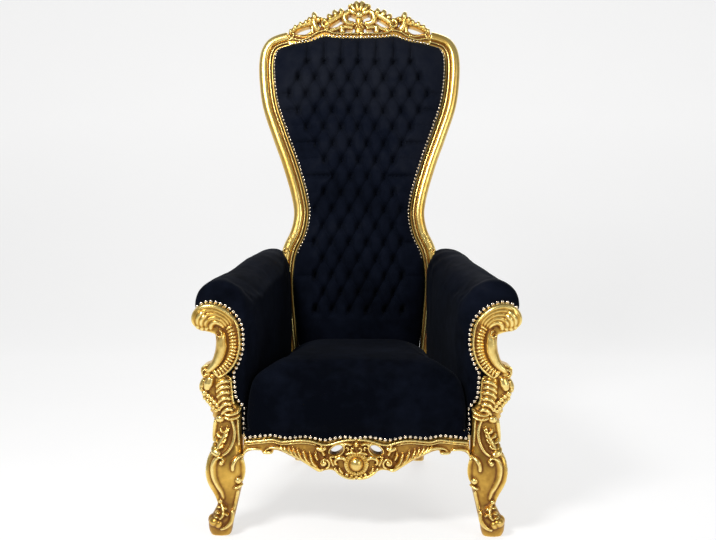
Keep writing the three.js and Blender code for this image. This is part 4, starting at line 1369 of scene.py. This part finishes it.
def seat_pad():
    """The sprung seat, drawn as levels of (inset, height, bulge of the front) and then stuffed."""
    levels = curve([(2, 293, 0), (0, 318, 10), (0, 380, 19), (2, 436, 19), (14, 470, 16), (46, 489, 10),
                    (110, 499, 0), (165, 502, 0)], 30)
    carving = Carving()
    carving.tube(np.array([seat_ring(*level) for level in levels]))
    piece = carving.piece("seat_velvet")
    stuffed(piece, bpy.context.scene.throne_work.seat_grain / MM, 4.0, 14, seat_held)
    joined([piece, seat_border()])
    finished(piece, velvet(), "velvet", "seat_pad")


# The arm's sections just behind its scroll and at the back, as (across, up).
ARM_FRONT = curve(
    [(398, 293), (398, 420), (412, 560), (440, 600), (466, 628), (474, 664), (469, 702), (450, 729),
     (413, 748), (370, 744), (336, 720), (317, 670), (310, 600), (316, 480), (326, 293)],
    100,
)
ARM_REAR = curve(
    [(276, 293), (276, 420), (284, 560), (306, 650), (345, 690), (374, 715), (384, 745), (366, 780),
     (330, 800), (292, 800), (262, 784), (246, 745), (240, 670), (236, 480), (234, 293)],
    100,
)
# The room that the front post and its scroll take from the arm's velvet.
POST_SPACE = [
    (335, 250), (335, 385), (352, 396), (364, 410), (366, 462), (371, 484), (349, 511), (338, 549),
    (337, 583), (343, 622), (372, 655), (403, 672), (425, 676), (445, 672), (458, 660), (530, 640),
    (530, 250),
]


def arm_ring(t, shrink, y):
    """One section of the arm, t of the way back."""
    drift, rise = t**0.9, smoothstep(t, 0, 1)
    x = ARM_FRONT[:, 0] + (ARM_REAR[:, 0] - ARM_FRONT[:, 0]) * drift
    z = ARM_FRONT[:, 1] + (ARM_REAR[:, 1] - ARM_FRONT[:, 1]) * rise
    hold = np.where(z > RAIL_TOP + 60, shrink, 0)
    middle_x, middle_z = 385 + (306 - 385) * drift, 655 + (730 - 655) * t
    return np.column_stack([x + (middle_x - x) * hold, np.full(len(x), y), z + (middle_z - z) * hold])


def cut(piece, other):
    """Takes another piece's volume out of a piece, and removes that other piece."""
    boolean = piece.modifiers.new("Cut", "BOOLEAN")
    boolean.operation = "DIFFERENCE"
    boolean.object = other
    boolean.solver = "EXACT"
    boolean.use_self = True
    baked(piece)
    bpy.data.objects.remove(other)


def cutter(name, outline, skin, low, high):
    """A board that stands for the room another piece takes."""
    carving = Carving()
    carving.slab([np.asarray(outline, float)], skin, low, high)
    return carving.piece(name)


def arm_held(points):
    """The arm is tacked along the rail, round the scroll and behind the stile."""
    x, y, z = points.T
    by_scroll = smoothstep(-np.hypot(x - SCROLL_X, z - SCROLL_Z), -140, -124) * (y < -320)
    by_post = smoothstep(x, 318, 330) * (y < -320) * (z < 500)
    return np.maximum.reduce([smoothstep(-z, -320, -300), by_scroll, by_post, smoothstep(y, 240, 262)])


def arm_body():
    """The right arm before it is stuffed, cut back to leave room for the frame round it."""
    front_y = FRONT_Y + 9
    rings = [arm_ring(0, 0.15, front_y), arm_ring(0.002, 0.09, front_y + 2),
             arm_ring(0.01, 0.035, front_y + 8), arm_ring(0.03, 0.0, front_y + 22)]
    rings += [arm_ring(t, 0.0, front_y + (ARM_REAR_Y - front_y) * t) for t in np.linspace(0.06, 1, 40)]
    carving = Carving()
    carving.tube(np.array(rings))
    arm = carving.piece("arm_velvet_right")
    cut(arm, cutter("post_space", POST_SPACE, rail_skin, -POST_DEPTH - 8, 40))
    outer = pad_edge(-STILE_WIDTH / 2 - GAP)
    outer = outer[outer[:, 1] < 700][::6]
    outline = np.vstack([[(0, -40), (outer[0, 0], -40)], outer, [(0, 700)]])
    cut(arm, cutter("frame_space", outline, back_skin, -300, 9))
    behind_frame = [(-50, -200), (600, -200), (600, 900), (-50, 900)]
    cut(arm, cutter("rear_space", behind_frame, back_skin, -300, -STILE_DEPTH))
    return arm


def arm_pads():
    """Both arms, stuffed, with the velvet slack and creased a little differently on each."""
    arm = arm_body()
    stuffed(arm, bpy.context.scene.throne_work.arm_grain / MM, 3.0, 7, arm_held)
    points = in_millimetres(corners(arm.data))
    normals = directions(arm.data)
    x, y, z = points.T
    near_back = smoothstep(y, 20, 220) * smoothstep(z, 460, 620)
    creases = np.sin(y / 15 + x / 23 + 1.5 * np.sin(z / 40)) * near_back * 2.0
    slack = 1.4 * np.sin(y / 52 + z / 61 + 0.6) * smoothstep(z, 380, 560)
    left = mirror_copy(arm, "arm_velvet_left")
    set_corners(left.data, in_metres(points + normals * (0.4 * creases + slack)[:, None]) * (-1, 1, 1))
    set_corners(arm.data, in_metres(points + normals * (creases - slack)[:, None]))
    for piece, node in ((arm, "arm_pad_right"), (left, "arm_pad_left")):
        finished(piece, velvet(), "velvet", node)


# ---- Nails ----

NAIL_START_Y = -600.0  # in front of everything: where the rays that place the front nails start
OUTSIDE_PITCH = 16.0
POST_NAILS = [
    (327, 300), (327, 345), (325, 362), (327, 378), (338, 391), (347, 402), (351, 418), (353, 440),
    (354, 462), (356, 474), (340, 508), (328.5, 548), (327, 583), (334, 626), (364, 664), (400, 682),
    (425, 686), (447, 680), (462, 668),
]


def spaced(line, pitch):
    """Places about a pitch apart along a line."""
    dense = curve(line, 600)
    reach = np.linalg.norm(np.diff(dense, axis=0), axis=1).sum()
    return curve(dense[::6], int(round(reach / pitch)) + 1)


def cast(piece_names, points, direction):
    """(point, normal) where rays from points, in millimetres, first meet the named pieces."""
    graph = bpy.context.evaluated_depsgraph_get()
    trees = [BVHTree.FromObject(bpy.data.objects[name], graph) for name in piece_names]
    found = []
    for point in points:
        hits = [tree.ray_cast(Vector(in_metres(point)), Vector(direction)) for tree in trees]
        hits = [hit for hit in hits if hit[0] is not None]
        if hits:
            place, normal, _, _ = min(hits, key=lambda hit: hit[3])
            found.append((place, normal if normal.dot(Vector(direction)) < 0 else -normal))
    return found


def nail_row(name, places, radius):
    """One row of nails as a piece."""
    finished(domes(name, places, radius, radius * 0.62), brass(), "nails")


def nails():
    """Every row of nails. Each nail is driven into whichever velvet or gilding its ray meets."""
    settings = bpy.context.scene.throne_work
    pitch, radius = settings.nail_pitch / MM, settings.nail_width / MM / 2
    rail_line = [(x, nail_height(x)) for x in np.linspace(-322, 322, 90)]
    starts = [(x, NAIL_START_Y, z) for x, z in spaced(rail_line, pitch)]
    nail_row("nails_front_rail", cast(["seat_velvet"], starts, (0, 1, 0)), radius)
    for side, name in ((1, "right"), (-1, "left")):
        arm = ["arm_velvet_" + name]
        starts = [(side * x, NAIL_START_Y, z) for x, z in spaced(POST_NAILS, pitch)]
        nail_row("nails_post_" + name, cast(arm, starts, (0, 1, 0)), radius)
        rail = SIDE_RAIL_FRONT + (SIDE_RAIL_REAR - SIDE_RAIL_FRONT) * np.linspace(0.02, 0.98, 36)[:, None]
        starts = [(side * (x + 200), y, RAIL_TOP + 9) for x, y in rail]
        nail_row("nails_side_rail_" + name, cast(arm, starts, (-side, 0, 0)), radius)
    back_nails(settings.back_nail_pitch / MM, radius * 0.9)
    outside_back_nails(radius * 0.9)


def both_sides(half):
    """A line from the middle of one side, with its mirror image after it."""
    return np.vstack([half, half[:-1][::-1] * (-1, 1)])


def edge_places(inset, lowest, step):
    """Every step'th place beside the stile, from a lowest height up to the corner of the opening."""
    edge = pad_edge(STILE_WIDTH / 2 + inset)
    return edge[(edge[:, 1] > lowest) & (edge[:, 1] < OPENING_TOP - 10) & (edge[:, 0] > 0)][::step]


def under_crest(out):
    """Places along the underside of the crest, from its end to the middle, moved up by out."""
    x = np.array([250, 218, 185, 155, 125, 92, 60, 30, 0])
    return np.stack([x, top_edge(x) + out], 1)


def back_nails(pitch, radius):
    """The nails along the stiles and on the foot of the crest."""
    line = both_sides(np.vstack([edge_places(5, 470, 4), under_crest(7)]))
    starts = [back_skin(x, up, 160.0) for x, up in spaced(line, pitch)]
    nail_row("nails_back", cast(["back_pad_velvet", "crest_gilt"], starts, behind(RECLINE)), radius)


def outside_back_nails(radius):
    """The nails all round the panel behind."""
    foot = [(0, PAD_BOTTOM + 8), (120, PAD_BOTTOM + 8)]
    line = both_sides(np.vstack([foot, edge_places(6, PAD_BOTTOM + 10, 6), under_crest(-6)[1:]]))
    starts = [back_skin(x, up, -160.0) for x, up in spaced(line, OUTSIDE_PITCH)]
    nail_row("nails_outside_back", cast(["outside_back_velvet"], starts, -behind(RECLINE)), radius)


# ---- Stage ----

CAMERA_PLACE = (0.038, -3.02, 0.98)
CAMERA_PITCH, CAMERA_TURN = math.radians(4.41), math.radians(0.7224)
CAMERA_LENS = 46.257


def pale_paper():
    """The matt paper of the floor, with a faint glow and a faint mottle."""
    look = bpy.context.scene.throne_stage
    material, shader = new_material("pale_paper")
    tree = material.node_tree
    stops = [(0.3, 0.97 * look.floor), (0.7, look.floor)]
    tree.links.new(ramp(tree, mottle(tree, 3.0, 30.0), stops), shader.inputs["Base Color"])
    shader_values(shader, Roughness=0.9, Specular_IOR_Level=0.1, Emission_Strength=look.glow)
    shader.inputs["Emission Color"].default_value = (1, 1, 1, 1)
    return material


def floor():
    """A pale floor that sweeps up behind the throne, in metres."""
    depth, radius, width, tall = 2.6, 1.6, 9.0, 7.0
    profile = [(-7.0, 0.0), (depth, 0.0)]
    for a in np.linspace(0.1, math.pi / 2, 16):
        profile.append((depth + radius * math.sin(a), radius * (1 - math.cos(a))))
    profile.append((depth + radius, tall))
    points = [(side * width, y, z) for y, z in profile for side in (-1, 1)]
    faces = [[2 * k, 2 * k + 1, 2 * k + 3, 2 * k + 2] for k in range(len(profile) - 1)]
    mesh = bpy.data.meshes.new("floor")
    mesh.from_pydata(points, [], faces)
    mesh.materials.append(pale_paper())
    shade_smooth(linked("floor", mesh))


def aimed(name, data, place, direction):
    """A lamp or a camera at a place, turned to face along a direction."""
    aimed_object = linked(name, data)
    aimed_object.location = place
    aimed_object.rotation_euler = direction.to_track_quat("-Z", "Y").to_euler()
    return aimed_object


def lights():
    """Soft light from all round, a main lamp from the upper left, and two weaker ones."""
    look = bpy.context.scene.throne_stage
    world = bpy.data.worlds.new("studio")
    world.use_nodes = True
    background = world.node_tree.nodes["Background"]
    background.inputs["Color"].default_value = (1, 1, 1, 1)
    background.inputs["Strength"].default_value = look.daylight
    bpy.context.scene.world = world
    lamps = [
        ("key", (-1.15, -2.0, 2.5), (0, 0, 1.25), 0.7, look.key_light),
        ("fill", (2.6, -2.6, 1.7), (0, 0, 0.9), 1.4, look.key_light * 0.4),
        ("rear", (0.6, 2.2, 3.0), (0, 0, 1.0), 1.4, look.key_light * 0.25),
    ]
    for name, place, aim, size, power in lamps:
        light = bpy.data.lights.new(name, "AREA")
        light.size = size
        light.energy = power
        aimed(name, light, place, Vector(aim) - Vector(place))


def camera():
    """The camera, in front of the throne and looking a little down."""
    data = bpy.data.cameras.new("camera")
    data.lens = CAMERA_LENS
    data.sensor_width = 36
    level = math.cos(CAMERA_PITCH)
    aim = Vector((-math.sin(CAMERA_TURN) * level, math.cos(CAMERA_TURN) * level, -math.sin(CAMERA_PITCH)))
    scene = bpy.context.scene
    scene.camera = aimed("camera", data, CAMERA_PLACE, aim)
    scene.view_settings.view_transform = "Standard"


# ---- Properties, operators and panel ----


def length_setting(name, description, default, low, high):
    return FloatProperty(name=name, description=description, default=default, min=low, max=high,
                         unit="LENGTH", subtype="DISTANCE", precision=4)


def colour_setting(name, description, default):
    return FloatVectorProperty(name=name, description=description, default=default, size=3,
                               subtype="COLOR", min=0, max=1)


def share_setting(name, description, default):
    return FloatProperty(name=name, description=description, default=default, min=0, max=1, subtype="FACTOR")


class ThroneWork(bpy.types.PropertyGroup):
    """How finely the throne is worked."""

    carving_grain: length_setting("Carving grain", "Cell size of the posts and front rail",
                                  0.0017, 0.0012, 0.006)
    crest_grain: length_setting("Crest grain", "Cell size of the crest", 0.0018, 0.0012, 0.006)
    seat_grain: length_setting("Seat grain", "Cell size of the seat before stuffing", 0.011, 0.005, 0.02)
    arm_grain: length_setting("Arm grain", "Cell size of the arms before stuffing", 0.0095, 0.005, 0.02)
    nail_pitch: length_setting("Nail pitch", "Distance between nails of the seat and arms",
                               0.0147, 0.008, 0.04)
    back_nail_pitch: length_setting("Back nail pitch", "Distance between nails of the back",
                                    0.013, 0.008, 0.04)
    nail_width: length_setting("Nail width", "Width of a nail head", 0.011, 0.005, 0.02)


class ThroneFinish(bpy.types.PropertyGroup):
    """The colours of the throne."""

    gold: colour_setting("Gold", "The gold leaf", (0.72, 0.43, 0.08))
    # The ridge colour is partly burnish and partly painted highlight; the hollow colour is partly bole and
    # partly painted shade.
    gold_ridge: colour_setting("Gold ridges", "The leaf where it is burnished on ridges", (0.98, 0.77, 0.28))
    gold_hollow: colour_setting("Gold hollows", "The ground that shows in hollows", (0.20, 0.075, 0.012))
    velvet: colour_setting("Velvet", "The pile of the velvet", (0.0014, 0.0020, 0.0042))
    nails: colour_setting("Nails", "The brass of the nails", (0.93, 0.80, 0.62))
    sheen: share_setting("Sheen", "How much the velvet lights up at its edges", 0.022)


class ThroneStage(bpy.types.PropertyGroup):
    """The light and the floor round the throne."""

    floor: share_setting("Floor", "How pale the floor is", 0.45)
    glow: share_setting("Glow", "How much the floor and the backdrop shine of themselves", 0.64)
    daylight: FloatProperty(name="Daylight", description="Strength of the light from all round",
                            default=0.2, min=0, max=4)
    key_light: FloatProperty(name="Key light", description="Power of the main lamp",
                             default=66.0, min=0, max=2000, unit="POWER")


class THRONE_OT_stage(bpy.types.Operator):
    """Makes the floor, the lights and the camera"""

    bl_idname = "throne.stage"
    bl_label = "Stage"

    def execute(self, context):
        floor()
        lights()
        camera()
        return {"FINISHED"}


class THRONE_OT_front_posts(bpy.types.Operator):
    """Carves both front posts with their arm scrolls"""

    bl_idname = "throne.front_posts"
    bl_label = "Front Posts"

    def execute(self, context):
        front_posts()
        return {"FINISHED"}


class THRONE_OT_front_rail(bpy.types.Operator):
    """Carves the pierced front rail"""

    bl_idname = "throne.front_rail"
    bl_label = "Front Rail"

    def execute(self, context):
        front_rail()
        return {"FINISHED"}


class THRONE_OT_seat_rails(bpy.types.Operator):
    """Makes the side rails and the back rail"""

    bl_idname = "throne.seat_rails"
    bl_label = "Seat Rails"

    def execute(self, context):
        side_rails()
        back_rail()
        return {"FINISHED"}


class THRONE_OT_back_posts(bpy.types.Operator):
    """Makes the rear legs and the moulded stiles above them"""

    bl_idname = "throne.back_posts"
    bl_label = "Back Posts"

    def execute(self, context):
        back_posts()
        return {"FINISHED"}


class THRONE_OT_crest(bpy.types.Operator):
    """Carves the pierced crest"""

    bl_idname = "throne.crest"
    bl_label = "Crest"

    def execute(self, context):
        crest_rail()
        return {"FINISHED"}


class THRONE_OT_seat(bpy.types.Operator):
    """Stuffs the seat and tacks its border over the front rail"""

    bl_idname = "throne.seat"
    bl_label = "Seat"

    def execute(self, context):
        seat_pad()
        return {"FINISHED"}


class THRONE_OT_arms(bpy.types.Operator):
    """Stuffs both arms"""

    bl_idname = "throne.arms"
    bl_label = "Arms"

    def execute(self, context):
        arm_pads()
        return {"FINISHED"}


class THRONE_OT_back(bpy.types.Operator):
    """Makes the buttoned back with its buttons"""

    bl_idname = "throne.back"
    bl_label = "Buttoned Back"

    def execute(self, context):
        back_pad()
        buttons()
        return {"FINISHED"}


class THRONE_OT_outside_back(bpy.types.Operator):
    """Covers the back from behind"""

    bl_idname = "throne.outside_back"
    bl_label = "Outside Back"

    def execute(self, context):
        outside_back()
        return {"FINISHED"}


class THRONE_OT_nails(bpy.types.Operator):
    """Drives the upholstery nails"""

    bl_idname = "throne.nails"
    bl_label = "Nails"

    def execute(self, context):
        nails()
        return {"FINISHED"}


OPERATORS = [
    THRONE_OT_stage, THRONE_OT_front_posts, THRONE_OT_front_rail, THRONE_OT_seat_rails, THRONE_OT_back_posts,
    THRONE_OT_crest, THRONE_OT_seat, THRONE_OT_arms, THRONE_OT_back, THRONE_OT_outside_back, THRONE_OT_nails,
]


class THRONE_PT_parts(bpy.types.Panel):
    """Lists the throne's parts and settings in the sidebar."""

    bl_label = "Throne"
    bl_idname = "THRONE_PT_parts"
    bl_space_type = "VIEW_3D"
    bl_region_type = "UI"
    bl_category = "Throne"

    def draw(self, context):
        for holder in ("throne_work", "throne_finish", "throne_stage"):
            settings = getattr(context.scene, holder)
            for name in settings.__annotations__:
                self.layout.prop(settings, name)
        for made in OPERATORS:
            self.layout.operator(made.bl_idname)


CLASSES = [ThroneWork, ThroneFinish, ThroneStage, *OPERATORS, THRONE_PT_parts]


def register():
    for made in CLASSES:
        bpy.utils.register_class(made)
    bpy.types.Scene.throne_work = PointerProperty(type=ThroneWork)
    bpy.types.Scene.throne_finish = PointerProperty(type=ThroneFinish)
    bpy.types.Scene.throne_stage = PointerProperty(type=ThroneStage)


def unregister():
    del bpy.types.Scene.throne_work
    del bpy.types.Scene.throne_finish
    del bpy.types.Scene.throne_stage
    for made in reversed(CLASSES):
        bpy.utils.unregister_class(made)


def main():
    register()
    for made in OPERATORS:
        getattr(bpy.ops.throne, made.bl_idname.split(".")[1])()


if __name__ == "__main__":
    main()
